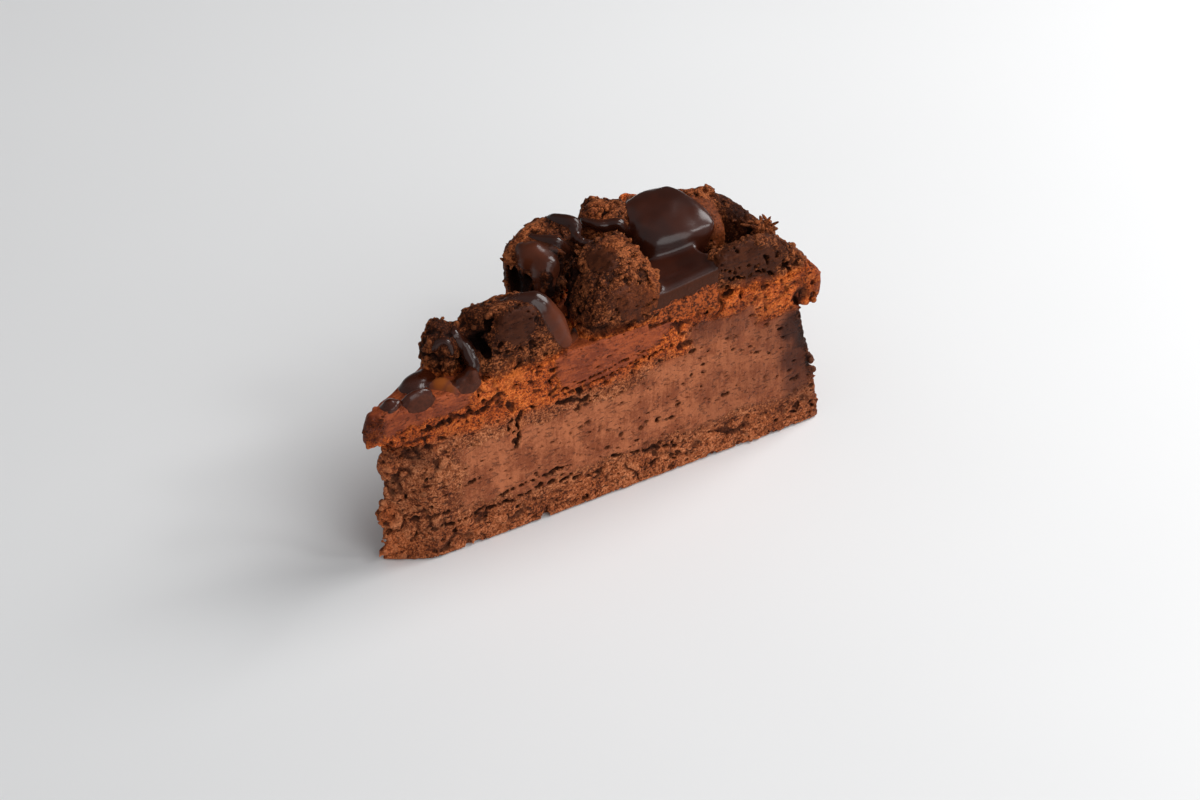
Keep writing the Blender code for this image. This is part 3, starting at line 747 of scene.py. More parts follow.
CRACKS = (
    (((14.5, 10.4), (20.5, 11.3), (24.5, 11.9), (30.0, 12.4)), 0.60, 0.15),
    (((22.0, 7.0), (27.0, 8.6), (33.0, 8.2), (39.0, 9.6)), 0.50, 0.35),
    (((36.0, 8.6), (43.0, 8.8), (52.0, 9.6), (61.0, 9.5), (67.0, 8.4), (73.0, 7.0)), 0.60, 0.30),
    (((43.0, 11.4), (50.0, 12.4), (57.0, 12.8), (64.0, 12.6)), 0.45, 0.35),
    (((76.0, 10.8), (84.0, 9.2), (91.0, 8.2), (97.0, 7.4)), 0.55, 0.55),
    (((21.0, 38.2), (26.0, 37.6), (32.0, 38.4), (38.0, 37.6), (42.0, 39.6)), 0.65, 0.10),
    (((59.0, 32.4), (63.5, 31.6), (68.0, 30.4), (73.0, 29.5)), 0.70, 0.15),
    (((49.4, 33.6), (48.4, 30.6), (49.0, 27.5), (48.0, 23.6)), 0.70, 0.20),
    (((47.4, 32.4), (46.4, 31.0), (46.8, 29.2)), 0.45, 0.40),
    (((62.0, 33.8), (72.0, 34.6), (82.0, 36.0), (92.0, 37.0)), 0.35, 0.35),
    (((60.0, 35.0), (70.0, 36.0), (80.0, 37.6), (88.0, 38.4)), 0.28, 0.50),
)
for way, size, gaps in CRACKS:
    crack(way, size, gaps)
print("cracks:", len(CRACKS))

# %% [markdown]
# ## Cracks in the brownie
# The cut sides of the two large brownie pieces have finer cracks, given in the same way.

# %% Cracks of the brownie pieces
BROWNIE_CRACKS = (
    (((107.5, 54.6), (110.5, 52.4), (114.5, 52.8), (117.0, 51.6)), 0.35, 0.5),
    (((110.0, 50.4), (114.0, 49.4), (118.0, 49.8), (122.0, 48.6)), 0.35, 0.5),
    (((119.0, 55.0), (121.5, 52.5), (122.0, 49.0), (124.0, 46.8)), 0.4, 0.4),
    (((126.0, 50.6), (127.0, 48.4), (129.0, 46.6)), 0.45, 0.3),
    (((41.0, 58.0), (40.0, 55.0), (41.5, 52.5), (40.5, 50.0)), 0.6, 0.3),
    (((43.0, 52.6), (47.0, 51.6), (52.0, 51.2)), 0.35, 0.5),
)
for way, size, gaps in BROWNIE_CRACKS:
    crack(way, size, gaps)
print("cracks in the brownie:", len(BROWNIE_CRACKS))

# %% [markdown]
# ## Hollows
# Between the brownie pieces and in the torn one it is dark and deep. Each hollow is seven bites at random
# round its middle, so that its wall is ragged.

# %% Hollows between the pieces
# Middle and half sizes of each hollow.
HOLLOWS = (
    ((67.0, 9.2, 52.8), (4.0, 5.4, 4.4)), ((70.4, 5.6, 50.4), (2.4, 2.8, 3.8)),
    ((54.4, -12.6, 57.2), (1.2, 1.6, 2.4)), ((41.2, -4.4, 53.5), (2.2, 2.0, 4.0)),
    ((43.0, -5.4, 58.5), (2.2, 1.6, 2.4)), ((69.0, -14.2, 49.0), (1.5, 1.7, 1.7)),
    ((75.2, 1.4, 57.6), (2.2, 2.2, 3.4)), ((73.6, 0.6, 53.6), (2.8, 2.8, 4.0)),
    ((70.6, 1.2, 53.0), (2.0, 2.0, 3.0)), ((71.4, -2.4, 50.6), (2.2, 2.4, 2.8)),
    ((71.0, -9.5, 51.0), (1.6, 1.6, 2.0)), ((38.0, -3.6, 51.0), (1.6, 1.6, 2.2)),
)
for spot, half in HOLLOWS:
    half = np.array(half)
    for _ in range(7):
        bite = half * rng.uniform(0.35, 0.75, 3)
        ball(body, np.array(spot) + half * rng.uniform(-0.5, 0.5, 3), bite, any_lie(), True)
print("hollows:", len(HOLLOWS))

# %% [markdown]
# ## Larger holes, and crumb that is torn open
# A few holes in the cut are larger than pores. Each is three bites side by side. Round every pore, crack
# and hole the crumb is torn open and shows its lighter inside, so the crumb's field grows there. These
# lighter rims are also painted light, caught on the edges of the holes.

# %% Larger holes
# Run, height, half length and half height of the larger holes.
HOLES = (
    (97.2, 36.0, 2.2, 1.25), (43.4, 40.4, 1.7, 0.8), (95.2, 42.2, 1.1, 0.8), (35.5, 18.4, 1.2, 0.7),
    (95.4, 19.0, 0.9, 0.55), (93.7, 15.7, 1.0, 0.55), (109.6, 16.8, 1.3, 0.6), (99.5, 26.3, 0.5, 0.5),
    (131.0, 14.0, 1.6, 0.6), (48.9, 46.6, 1.1, 0.8), (89.0, 9.0, 2.0, 0.7), (58.0, 12.6, 1.8, 0.6),
)
for place_run, height, half_length, half_height in HOLES:
    for side in (-0.5, 0.1, 0.6):
        lift = (0.3 * side + rng.uniform(-0.4, 0.4)) * half_height
        spot = on_cut(place_run + side * half_length, 0.0, height + lift)
        half = np.array((half_length, half_height, 1.5)) * rng.uniform((0.35, 0.6, 0.6), (0.65, 1.0, 1.0))
        ball(body, spot, half, np.array([ALONG, UP, NEAR_OUT]), True)
# lighter, open crumb round every hole, partly painted light on the holes' rims
opened = blur(step_up(0.05, 0.35, np.maximum(body, -0.4) - np.maximum(uncut, -0.4)), 3)
crumb = np.maximum(crumb, np.clip(1.6 * opened, 0.0, 0.9))
body += (0.03 + 0.09 * crumb) * cloud(0.8)
print("larger holes:", len(HOLES), " torn open:", round(float(opened.mean()), 3))
del uncut, opened

# %% [markdown]
# ## Ganache over crumb
# Where ganache lies, the crumb under it doesn't show. The rough field fades into the smooth skin there, and
# the strands are united with it in a soft way, so that they seem to wet the crumb instead of lying on top.

# %% Smooth where there is ganache
SOFT = 0.5  # over how many millimetres the strands and the crumb melt into each other

covered = step_down(0.0, 0.9, glaze)
for name in names:
    if name.startswith(GLOSSY):
        covered = np.maximum(covered, blur(of_node[name] * (1.0 - foot_of_pool), 1))
calm = blur(skin, 5)
body = body * (1.0 - covered) + calm * covered
share = np.clip(0.5 + 0.5 * (body - glaze) / SOFT, 0.0, 1.0)
body = body * (1.0 - share) + glaze * share - SOFT * share * (1.0 - share)
body = np.maximum(body, -z)  # nothing goes through the floor
gloss = step_down(-0.35, 0.75, glaze)
print("covered:", round(float((covered > 0.5).mean()) * 100, 2), "% of the grid")
del covered, calm, share, glaze, foot_of_pool

# %% [markdown]
# ## Back to meshes
# Each piece is the part of the carved cake that lies nearer to its own solid than to any other. Half the
# difference of the two distances is zero half way between them, so the larger of that and the carved field
# is the piece. OpenVDB meshes it with larger faces where it is flat, which keeps the hidden sides light.

# %% From the field to separate pieces
ADAPT = 0.01  # how far OpenVDB may stray from the field where it joins small faces, in steps
OVERLAP, GLOSSY_OVERLAP = 0.22, 0.05  # how far a piece reaches into its neighbours, in millimetres
EASE_IN, EASE_OUT = 0.55, -0.57  # the pull and the push of each round of smoothing


def without_islands(points, triangles, least=400):
    """Drops bits of few points that hang free: the lowest number is handed round every connected part."""
    label = np.arange(len(points))
    edges = np.concatenate([triangles[:, [0, 1]], triangles[:, [1, 2]]])
    while True:
        lowest = label.copy()
        np.minimum.at(lowest, edges[:, 0], label[edges[:, 1]])
        np.minimum.at(lowest, edges[:, 1], label[edges[:, 0]])
        lowest = lowest[lowest]
        if (lowest == label).all():
            break
        label = lowest
    big = np.bincount(label, minlength=len(points))[label] >= least
    number = np.cumsum(big) - 1
    return points[big], number[triangles[big[triangles[:, 0]]]]


def eased(points, triangles, rounds):
    """Smooths a mesh without shrinking it: a round pulls points to their neighbours, then pushes back."""
    edges = np.concatenate([triangles[:, [0, 1]], triangles[:, [1, 2]], triangles[:, [2, 0]]])
    count = np.bincount(edges[:, 0], minlength=len(points)).reshape(-1, 1)
    for k in range(2 * rounds):
        total = np.stack([np.bincount(edges[:, 0], side[edges[:, 1]], len(points)) for side in points.T], -1)
        pull = EASE_IN if k % 2 == 0 else EASE_OUT
        points = points + (total / np.maximum(count, 1) - points) * pull
    return points


def piece_of(name):
    """The mesh of one solid's share of the carved cake, in millimetres from the cake's centre."""
    window = windows[name]
    others = np.where(owner[window] == names.index(name), second[window], nearest[window])
    glossy = name.startswith(GLOSSY)
    overlap = GLOSSY_OVERLAP if glossy else OVERLAP
    field = np.maximum(body[window], (solid_fields[name] - others) * 0.5 - overlap)
    start = [part.start for part in window]
    points, triangles = surface(np.clip(field, -FAR_AWAY, FAR_AWAY), start, adapt=0.0 if glossy else ADAPT)
    points = (points.astype(float) + FIRST) * STEP - CENTRE
    points, triangles = without_islands(points, triangles)
    if glossy:
        points = eased(points, triangles, 3)
    return points, triangles[:, ::-1]


# %% [markdown]
# ## Masks for the painter
# The same fields that carved the cake now tell the materials what each point is. They are stored on the
# mesh as attributes: how deep the point lies under the smooth skin, how open the crumb is, which layer it
# belongs to, and how much ganache covers it. Three more masks are painted spot by spot. The first holds
# what is light and orange: torn ends, whose dry crumb is lighter of itself, and painted light on lit tops and
# ridges.

# %% Light and orange areas
# The middle of each spot, its radius in millimetres and its strength. The other two masks are given so too.
# Lighter, more orange crumb: the torn crumb's own colour, with painted light where tops and ridges catch the
# light.
WARM = (
    # top and ridge of the middle piece, lit: painted light on the torn crumb
    (86.5, -5.5, 62.5, 4.5, 0.9), (88.8, -9.6, 61.2, 5.5, 1.0), (88.6, -14.3, 58.7, 5.5, 1.0),
    (86.5, -18.0, 55.5, 5.0, 1.0), (86.5, -19.5, 51.5, 4.5, 0.9), (84.0, -13.5, 59.4, 4.0, 0.5),
    (81.0, -15.5, 55.0, 7.5, 0.5),
    # foot of the upright crack
    (47.1, -10.8, 28.5, 4.0, 0.6),
    # the broken point
    (14.8, 2.2, 13.6, 5.0, 1.0), (16.4, 1.2, 27.5, 4.0, 0.8), (15.6, 1.6, 4.5, 5.5, 0.8),
    # the piece behind the middle one
    (93.5, 6.0, 60.0, 5.5, 1.0), (96.5, 9.0, 61.5, 5.5, 0.9),
    # bare side of the glazed piece, lit: painted light
    (118.8, -2.4, 61.3, 5.0, 1.0), (118.0, -7.3, 59.8, 5.0, 1.0), (118.0, -12.3, 57.0, 5.0, 1.0),
    (118.0, -13.7, 54.0, 5.0, 1.0), (114.8, -13.1, 53.5, 3.0, 0.8),
    # the rim's piece and its shred
    (126.5, -18.5, 55.0, 4.0, 1.0), (127.5, -28.9, 49.5, 4.5, 0.5),
    # top of the far piece
    (76.5, 12.5, 62.0, 5.5, 0.9), (70.7, 12.5, 61.3, 3.5, 0.9),
    # crumb of the topping
    (46.0, -10.0, 46.0, 5.0, 0.9), (56.0, -13.0, 47.0, 5.0, 0.7), (127.0, 8.0, 48.0, 9.0, 0.7),
    (60.0, 8.0, 48.0, 4.0, 0.7), (68.5, -12.5, 47.0, 3.0, 0.9), (118.3, -27.0, 41.0, 8.0, 0.4),
    # the line of crumb under the middle piece, and at the rim
    (67.0, -13.8, 45.2, 2.6, 0.9), (71.4, -15.3, 47.0, 2.4, 0.9), (75.5, -16.9, 48.2, 2.4, 0.9),
    (79.5, -17.9, 48.8, 2.4, 0.9), (83.5, -18.8, 49.6, 2.4, 0.9), (123.4, -28.2, 37.6, 4.0, 0.5),
)
print("light spots:", len(WARM))

# %% [markdown]
# ## Dark and tinted areas
# Some dark spots are painted shade, in the deep gaps and clefts between the pieces where little light gets
# in, and some darken moist crumb, which is darker than dry crumb. Thin ganache is reddish where it lets
# light through, and caramel where it lies thinnest.

# %% Dark and tinted areas
# Most of the dark spots lie between the pieces on top, where they are painted shade, and on the near cut
# towards the rim, where they make the crumb darker.
DARK = (
    (74.2, 1.6, 56.0, 8.0, 1.0), (73.8, 2.6, 58.5, 6.0, 1.0), (73.0, 0.0, 52.0, 7.5, 1.0),
    (79.5, 3.8, 58.5, 5.0, 0.8), (76.0, -8.5, 57.0, 4.5, 0.5), (71.5, -4.0, 49.0, 5.0, 0.9),
    (41.3, -4.0, 54.0, 6.0, 0.85), (43.5, -1.5, 60.0, 7.5, 0.5), (76.0, 7.5, 61.5, 6.5, 0.45),
    (33.5, 0.5, 53.0, 7.5, 0.45), (34.5, 1.0, 57.0, 6.0, 0.7), (67.5, 9.0, 52.0, 6.0, 1.0),
    (66.0, -9.5, 47.5, 4.0, 0.5), (125.8, -2.1, 59.0, 4.0, 0.5), (125.4, -7.0, 57.5, 4.5, 0.55),
    (125.8, -11.0, 55.0, 4.5, 0.55), (124.5, -16.0, 53.5, 3.5, 0.8), (9.0, -1.2, 42.5, 6.0, 0.75),
    (16.0, -3.4, 42.0, 9.0, 0.25), (26.0, -5.9, 37.2, 7.5, 0.4), (33.0, -7.3, 38.5, 7.5, 0.35),
    (101.5, -23.0, 39.5, 8.0, 0.6), (110.0, -25.0, 37.5, 8.0, 0.55), (118.0, -27.0, 34.0, 8.0, 0.45),
    (107.0, -24.4, 18.0, 15.0, 0.3), (72.0, 6.0, 57.0, 5.0, 0.4), (80.0, 6.0, 60.0, 6.0, 0.35),
    (92.0, 2.0, 57.0, 5.0, 0.5), (96.0, -2.0, 52.0, 6.0, 0.6), (121.0, -27.7, 29.0, 9.0, 0.45),
    (127.0, -28.9, 30.0, 9.0, 0.85), (131.5, -30.0, 26.0, 9.0, 0.9), (127.5, -29.1, 21.0, 9.0, 0.8),
    (133.0, -30.3, 17.0, 8.0, 0.8), (128.5, -29.3, 13.5, 8.0, 0.75), (117.0, -26.7, 18.0, 10.0, 0.4),
    (110.0, -25.0, 26.0, 10.0, 0.25), (134.0, -30.5, 7.0, 8.0, 0.4), (135.0, -30.8, 38.0, 6.0, 0.7),
    (131.0, -30.0, 40.0, 7.0, 0.35), (131.5, -30.0, 44.5, 6.0, 0.45), (48.0, -11.0, 58.0, 6.0, 0.3),
    (20.0, -4.7, 35.5, 8.0, 0.35), (28.0, -6.4, 37.0, 8.0, 0.35), (26.0, -6.0, 5.0, 9.0, 0.4),
    (22.0, -3.5, 30.0, 6.0, 0.5), (18.0, -1.5, 20.0, 9.0, 0.25), (40.0, -9.0, 5.0, 9.0, 0.15),
)
TINTED = (
    (30.3, -2.6, 46.0, 3.8, 1.0), (30.8, -5.2, 45.6, 3.0, 0.8), (59.0, -11.2, 56.5, 6.0, 0.26),
    (61.0, -12.6, 52.0, 7.0, 0.3), (62.4, -13.2, 48.4, 5.0, 0.34), (66.0, -10.0, 47.0, 4.0, 0.6),
    (69.4, 6.5, 59.0, 8.0, 0.24), (69.8, 3.8, 54.5, 8.0, 0.2), (16.0, -1.8, 46.4, 2.6, 0.8),
)
print("dark spots:", len(DARK), " tinted spots:", len(TINTED))


def painted(spots, points):
    """Each spot's strength at its middle, fading to 0 at its radius."""
    return np.max([
        strength * step_down(0.35 * size, size, np.linalg.norm(points - middle, axis=1))
        for *middle, size, strength in spots
    ], axis=0)


# %% [markdown]
# ## Making the pieces
# Each finished piece is a mesh of its own. It rides on the root body and takes the solid's place. The crumb
# is shaded smooth, apart from its sharpest edges.

# %% Finished pieces
SHARP_EDGE = math.radians(62.0)
BROWNED = 0.6  # how strongly the rim has browned in the tin
MASK_FIELDS = {"crumb": crumb, "base": base, "topping": topping, "brownie": brownie, "ganache": gloss}


def masks_of(points):
    """What the materials need to know of each point."""
    masks = {label: at(field, points) for label, field in MASK_FIELDS.items()}
    masks["depth"] = -at(skin, points)
    masks["warm"], masks["tint"] = painted(WARM, points), painted(TINTED, points)
    browned = BROWNED * step_up(RIM - RIM_LEAN, RIM, np.hypot(points[:, 0], points[:, 1]))
    masks["dark"] = np.maximum(painted(DARK, points), browned)
    return masks


def make_piece(name):
    points, triangles = piece_of(name)
    mesh = bpy.data.meshes.new(f"{name} finished")
    mesh.from_pydata((points + CENTRE) * MM, [], triangles)
    mesh.shade_smooth()
    mesh.set_sharp_from_angle(angle=SHARP_EDGE)
    for label, values in masks_of(points).items():
        mesh.attributes.new(label, "FLOAT", "POINT").data.foreach_set("value", values.astype(np.float32))
    obj = bpy.data.objects.new(f"{name}_finished", mesh)
    bpy.context.scene.collection.objects.link(obj)
    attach(obj, "root")
    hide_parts(name)
    return obj


pieces = {name: make_piece(name) for name in names}
counts = {name: len(piece.data.polygons) for name, piece in pieces.items()}
print("triangles:", counts, "in all", sum(counts.values()))

# %% [markdown]
# ## Writing shader maths as Python
# A material is a graph of nodes, and sums built node by node are hard to read. A small class wraps a
# socket and gives it Python's own operators, so that `1 - mask * 0.5` adds its Math nodes by itself.

# %% Sockets that can be added and multiplied
class Wire:
    """A node's socket, ready for use in an expression."""

    def __init__(self, finish, socket):
        self.finish, self.socket = finish, socket

    def math(self, operation, first, other):
        return self.finish.add("ShaderNodeMath", {"operation": operation}, {0: first, 1: other})

    def __add__(self, other):
        return self.math("ADD", self, other)

    def __radd__(self, other):
        return self.math("ADD", other, self)

    def __sub__(self, other):
        return self.math("SUBTRACT", self, other)

    def __rsub__(self, other):
        return self.math("SUBTRACT", other, self)

    def __mul__(self, other):
        return self.math("MULTIPLY", self, other)

    def __rmul__(self, other):
        return self.math("MULTIPLY", other, self)


# %% [markdown]
# ## Adding nodes
# All other nodes come from one method, which takes the node's type, its settings, and its sockets' values
# or links. The nodes that are used most have short methods of their own, which call it.

# %% A graph of nodes
class NodeTree:
    """A graph of nodes in the making."""

    def __init__(self, tree):
        self.tree = tree

    def add(self, kind, settings=None, values=None, output=0):
        node = self.tree.nodes.new(kind)
        for key, value in (settings or {}).items():
            setattr(node, key, value)
        for key, value in (values or {}).items():
            self.feed(node.inputs[key], value)
        return Wire(self, node.outputs[output])

    def feed(self, socket, value):
        if isinstance(value, Wire):
            self.tree.links.new(value.socket, socket)
        elif socket.type == "RGBA":
            socket.default_value = (*value, 1.0)
        else:
            socket.default_value = value

    def step(self, value, low, high):
        """0 below low and 1 above high, soft in between."""
        values = {"Value": value, "From Min": low, "From Max": high}
        return self.add("ShaderNodeMapRange", {"interpolation_type": "SMOOTHSTEP"}, values)

    def blend(self, first, second, share):
        """One colour fading into another."""
        return self.add("ShaderNodeMix", {"data_type": "RGBA"}, {0: share, 6: first, 7: second}, 2)

    def blend_value(self, first, second, share):
        return self.add("ShaderNodeMix", {"data_type": "FLOAT"}, {0: share, 2: first, 3: second})

    def tinted(self, colour, glass):
        """A colour as seen through coloured glass."""
        settings = {"data_type": "RGBA", "blend_type": "MULTIPLY"}
        return self.add("ShaderNodeMix", settings, {0: 1.0, 6: colour, 7: glass}, 2)

    def scaled(self, place, scale, turn=(0.0, 0.0, 0.0)):
        """A place for a texture that is drawn out along some axes, and turned."""
        return self.add("ShaderNodeMapping", None, {"Vector": place, "Rotation": turn, "Scale": scale})

    def mask(self, name):
        return self.add("ShaderNodeAttribute", {"attribute_name": name}, output="Fac")

    def where(self):
        return self.add("ShaderNodeTexCoord", output="Object")

    def noise(self, place, scale, detail, roughness=0.55):
        values = {"Vector": place, "Scale": scale, "Detail": detail, "Roughness": roughness}
        return self.add("ShaderNodeTexNoise", None, values)

    def along(self, place, way):
        """How far a place lies in the direction of a way."""
        return self.add("ShaderNodeVectorMath", {"operation": "DOT_PRODUCT"}, {0: place, 1: way}, "Value")

    def bump(self, height, distance, strength):
        """Fine relief that only the light sees. The distance is in metres."""
        values = {"Height": height, "Distance": distance, "Strength": strength}
        return self.add("ShaderNodeBump", None, values)


# %% [markdown]
# ## A finish
# A finish is a material with one main shader. What varies over the surface is linked to the shader, and
# what is the same all over is written straight into its sockets.

# %% A material and its shader
class Finish(NodeTree):
    """A material, with the main shader that its nodes end in."""

    def __init__(self, name):
        self.material = bpy.data.materials.new(name)
        self.material.use_nodes = True
        super().__init__(self.material.node_tree)
        self.shader = self.tree.nodes["Principled BSDF"]

    def behind_knife(self, place, start, end):
        """Rises from 0 to 1 between two depths behind the near cut face, both in metres."""
        offset = float(CENTRE @ NEAR_OUT) * MM
        return self.step(self.along(place, tuple(NEAR_OUT)), offset - start, offset - end)

    def set(self, **values):
        for key, value in values.items():
            self.feed(self.shader.inputs[key.replace("_", " ").title()], value)

    def set_even(self, coat_roughness, specular):
        """Sets what is the same all over the surface."""
        self.shader.inputs["Coat Roughness"].default_value = coat_roughness
        self.shader.inputs["Specular IOR Level"].default_value = specular


# %% [markdown]
# ## What cake looks like close up
# Open crumb is a mix of lit, orange-brown crumbs and dark gaps less than a millimetre wide, and its colours
# paint that light and shade in. Dragged fudge is more even, with faint upright streaks from the knife. Both
# are only slightly shiny, because the fat in them is set. One function makes all of the cake's finishes, and
# each layer gives it its own colours.

# %% Colours of the cake
GANACHE = (0.0300, 0.0075, 0.0038)
MILKY = (0.150, 0.036, 0.0145)
CARAMEL = (0.290, 0.070, 0.0095)
TORN_AND_LIT_DARK, TORN_AND_LIT_LIGHT = (0.190, 0.040, 0.0105), (0.56, 0.125, 0.028)
# Painted shade: CAVE darkens caves nearly to black, and DEEP_GAP the deepest gaps between the pieces.
CAVE, DEEP_GAP = (0.012, 0.0026, 0.0011), (0.006, 0.0014, 0.0007)
# The dark spots tint the colour with this: painted shade between the pieces, and moist, darker crumb.
SHADE_AND_MOIST = (0.28, 0.23, 0.24)  # moist crumb looks as dry crumb does through this tint

# What each layer adds to the mix: its dark, middle and light crumbs, which hold painted shade and painted
# light, its two smooth browns, and its pores, whose colour is painted shade.
SHADES = {
    "fudge": (
        (0.095, 0.020, 0.0060), (0.320, 0.086, 0.028), (0.600, 0.215, 0.090),
        (0.230, 0.056, 0.0190), (0.455, 0.140, 0.0560), (0.040, 0.008, 0.0025),
    ),
    "base": (
        (0.090, 0.018, 0.0050), (0.360, 0.090, 0.0255), (0.640, 0.220, 0.090),
        (0.300, 0.074, 0.0240), (0.430, 0.120, 0.0400), (0.035, 0.007, 0.0022),
    ),
    "topping": (
        (0.120, 0.018, 0.0032), (0.490, 0.085, 0.0115), (0.820, 0.205, 0.037),
        (0.200, 0.0370, 0.0115), (0.370, 0.0760, 0.0210), (0.035, 0.006, 0.0018),
    ),
    "brownie": (
        (0.026, 0.0058, 0.0020), (0.100, 0.0235, 0.0070), (0.400, 0.120, 0.0400),
        (0.044, 0.0105, 0.0038), (0.074, 0.0190, 0.0066), (0.008, 0.0018, 0.0008),
    ),
}
print("layers with colours of their own:", len(SHADES))

# %% [markdown]
# ## Textures that the whole cake shares
# The noises change over sizes from under a millimetre to about a centimetre. Two are drawn out, upright and
# along the layers, as the knife's streaks are, and the one for pores, which places their painted shade, is a
# little wider than high. Each of the six colours fades from layer to layer.

# %% A finish for cake
class CakeFinish(Finish):
    """A finish of cake, with its colours and the textures that all of its steps share."""

    def __init__(self, name):
        super().__init__(name)
        place = self.where()
        self.shares = {layer: self.mask(layer) for layer in ("base", "topping", "brownie")}
        shades = [self.by_layer(k) for k in range(6)]
        self.dark, self.mid, self.light, self.smooth, self.smooth_light, self.pit = shades
        self.fine = self.noise(place, 2900.0, 3.0, 0.6)
        self.grain = self.noise(place, 1500.0, 3.0, 0.62)
        self.patch = self.noise(place, 150.0, 4.0, 0.6)
        self.upright = self.noise(self.scaled(place, (1.0, 1.0, 0.12)), 1100.0, 3.0, 0.6)
        self.level = self.noise(self.scaled(place, (0.14, 1.0, 1.0), (0.0, 0.16, 0.0)), 900.0, 3.0, 0.6)
        self.speck = self.grain * 0.55 + self.fine * 0.45
        pores = self.noise(self.scaled(place, (0.6, 1.0, 1.6)), 900.0, 2.0, 0.5)
        self.hole = 1.0 - self.step(pores, 0.34, 0.40)
        self.warm, self.tint, self.depth = self.mask("warm"), self.mask("tint"), self.mask("depth")

    def by_layer(self, k):
        """One of the six colours, faded from layer to layer."""
        colour = SHADES["fudge"][k]
        for layer, share in self.shares.items():
            colour = self.blend(colour, SHADES[layer][k], share)
        return colour


# %% [markdown]
# ## Crumb and dragged fudge
# Open crumb goes from dark to middle to light with the speckle: its own uneven tone, with painted light on
# the crumbs and painted shade in the gaps between them. Dragged fudge is two close browns in streaks. The
# crumb mask, roughened by noise, tells which of the two shows, and the warm places are lighter and more
# orange: torn, dry crumb of its own colour, and painted light on lit tops and ridges.

# %% Colour in even light
def dry_colour(finish):
    """The colour before the painted shade of pores and hollows and before ganache, with the crumbs' painted
    light and shade, and the share of open crumb in it.
    """
    speck, patch, topping_share = finish.speck, finish.patch, finish.shares["topping"]
    tone = speck + patch * 0.30 - 0.15 + finish.warm * 0.05 + (finish.level - 0.5) * 0.15
    crumbs = finish.blend(finish.dark, finish.mid, finish.step(tone, 0.40, 0.50))
    crumbs = finish.blend(crumbs, finish.light, finish.step(tone, 0.51, 0.61))
    drag = finish.blend_value(finish.upright, finish.level, topping_share)
    streaks = (drag - 0.5) * (0.22 + topping_share * 0.45)
    even = finish.step(patch * 0.50 + speck * 0.50 + streaks, 0.40, 0.60)
    dragged = finish.blend(finish.smooth, finish.smooth_light, even)
    rough_mask = finish.mask("crumb") + (finish.grain - 0.5) * 0.7 + (patch - 0.5) * 0.5
    share = finish.step(rough_mask, 0.30, 0.62)
    # painted light on lit tops and ridges, over the torn crumb's own lighter, more orange colour
    torn_and_lit_colour = finish.blend(TORN_AND_LIT_DARK, TORN_AND_LIT_LIGHT, finish.step(speck, 0.42, 0.60))
    torn_and_lit_share = finish.warm * (0.75 + topping_share * -0.45)
    return finish.blend(finish.blend(dragged, crumbs, share), torn_and_lit_colour, torn_and_lit_share), share


# %% [markdown]
# ## Pores, hollows and shadows
# Painted shade darkens pores and hollows, and caves nearly to black, and painted light lightens what stands
# out. The dark mask is roughened by noise too, so that its painted shade and its moist, darker areas have no
# outline.

# %% Colour with its darks
def shaded_colour(finish, colour, share):
    """Paints shade into pores, hollows, gaps between the pieces and moist areas, and paints light on raised
    crumbs.
    """
    # painted shade in the pores that the noise places
    colour = finish.blend(colour, finish.pit, finish.hole * (0.30 + share * 0.45))
    ragged = finish.fine - 0.5
    # painted shade in hollows, by depth under the skin, and nearly black in caves
    hollow = finish.step(finish.depth + ragged * 0.3, 0.06, 0.62)
    colour = finish.blend(colour, finish.pit, hollow * 0.75)
    cave = finish.step(finish.depth + ragged * 0.4, 0.50, 1.30)
    colour = finish.blend(colour, CAVE, cave * 0.80)
    # painted light on raised crumbs
    raised = finish.step(0.0 - finish.depth + ragged * 0.3, 0.04, 0.30)
    colour = finish.blend(colour, finish.light, raised * share * 0.40)
    # painted shade between the pieces and in clefts, moist, darker crumb, and the browned rim
    dark_area = finish.mask("dark")
    spread = ((finish.patch - 0.5) * 0.5 + (finish.speck - 0.5) * 0.3) * finish.step(dark_area, 0.0, 0.3)
    shade = finish.step(dark_area + spread, 0.02, 1.0)
    colour = finish.blend(colour, finish.tinted(colour, SHADE_AND_MOIST), shade)
    # painted shade: the strongest dark spots, in the deepest gaps, go nearly black
    return finish.blend(colour, DEEP_GAP, finish.step(dark_area, 0.70, 0.95) * 0.85)


# %% [markdown]
# ## Where ganache wets the crumb
# Ganache replaces the crumb's colour, hides its fine relief and makes it glossy, with a clear coat. Its
# border is roughened like the others. Where it is thin it is reddish, then caramel, and less glossy.

# %% The finishes of the cake
def cake_finish(name, shine=0.16):
    finish = CakeFinish(name)
    colour, share = dry_colour(finish)
    colour = shaded_colour(finish, colour, share)
    tint = finish.tint
    ganache_mask = finish.mask("ganache") + (finish.grain - 0.5) * 0.5 + (finish.patch - 0.5) * 0.4
    wet = finish.step(ganache_mask, 0.34, 0.62)
    thin = finish.blend(GANACHE, MILKY, finish.step(tint, 0.0, 0.5))
    thin = finish.blend(thin, CARAMEL, finish.step(tint, 0.5, 1.0))
    matte = 0.52 + finish.speck * 0.35 - 0.12 * (1.0 - share) + finish.shares["topping"] * -0.06
    height = finish.speck * (0.35 + share * 0.85) + finish.upright * 0.06 - finish.hole * 0.6
    finish.set(base_color=finish.blend(colour, thin, wet))
    finish.set(roughness=matte * (1.0 - wet) + (0.26 + tint * 0.6) * wet)
    finish.set(normal=finish.bump(height * (1.0 - wet), 0.0006, 1.0))
    finish.set(coat_weight=wet * finish.step(tint, 0.4, 0.0) * 0.45)
    finish.set_even(0.16, shine)
    return finish.material


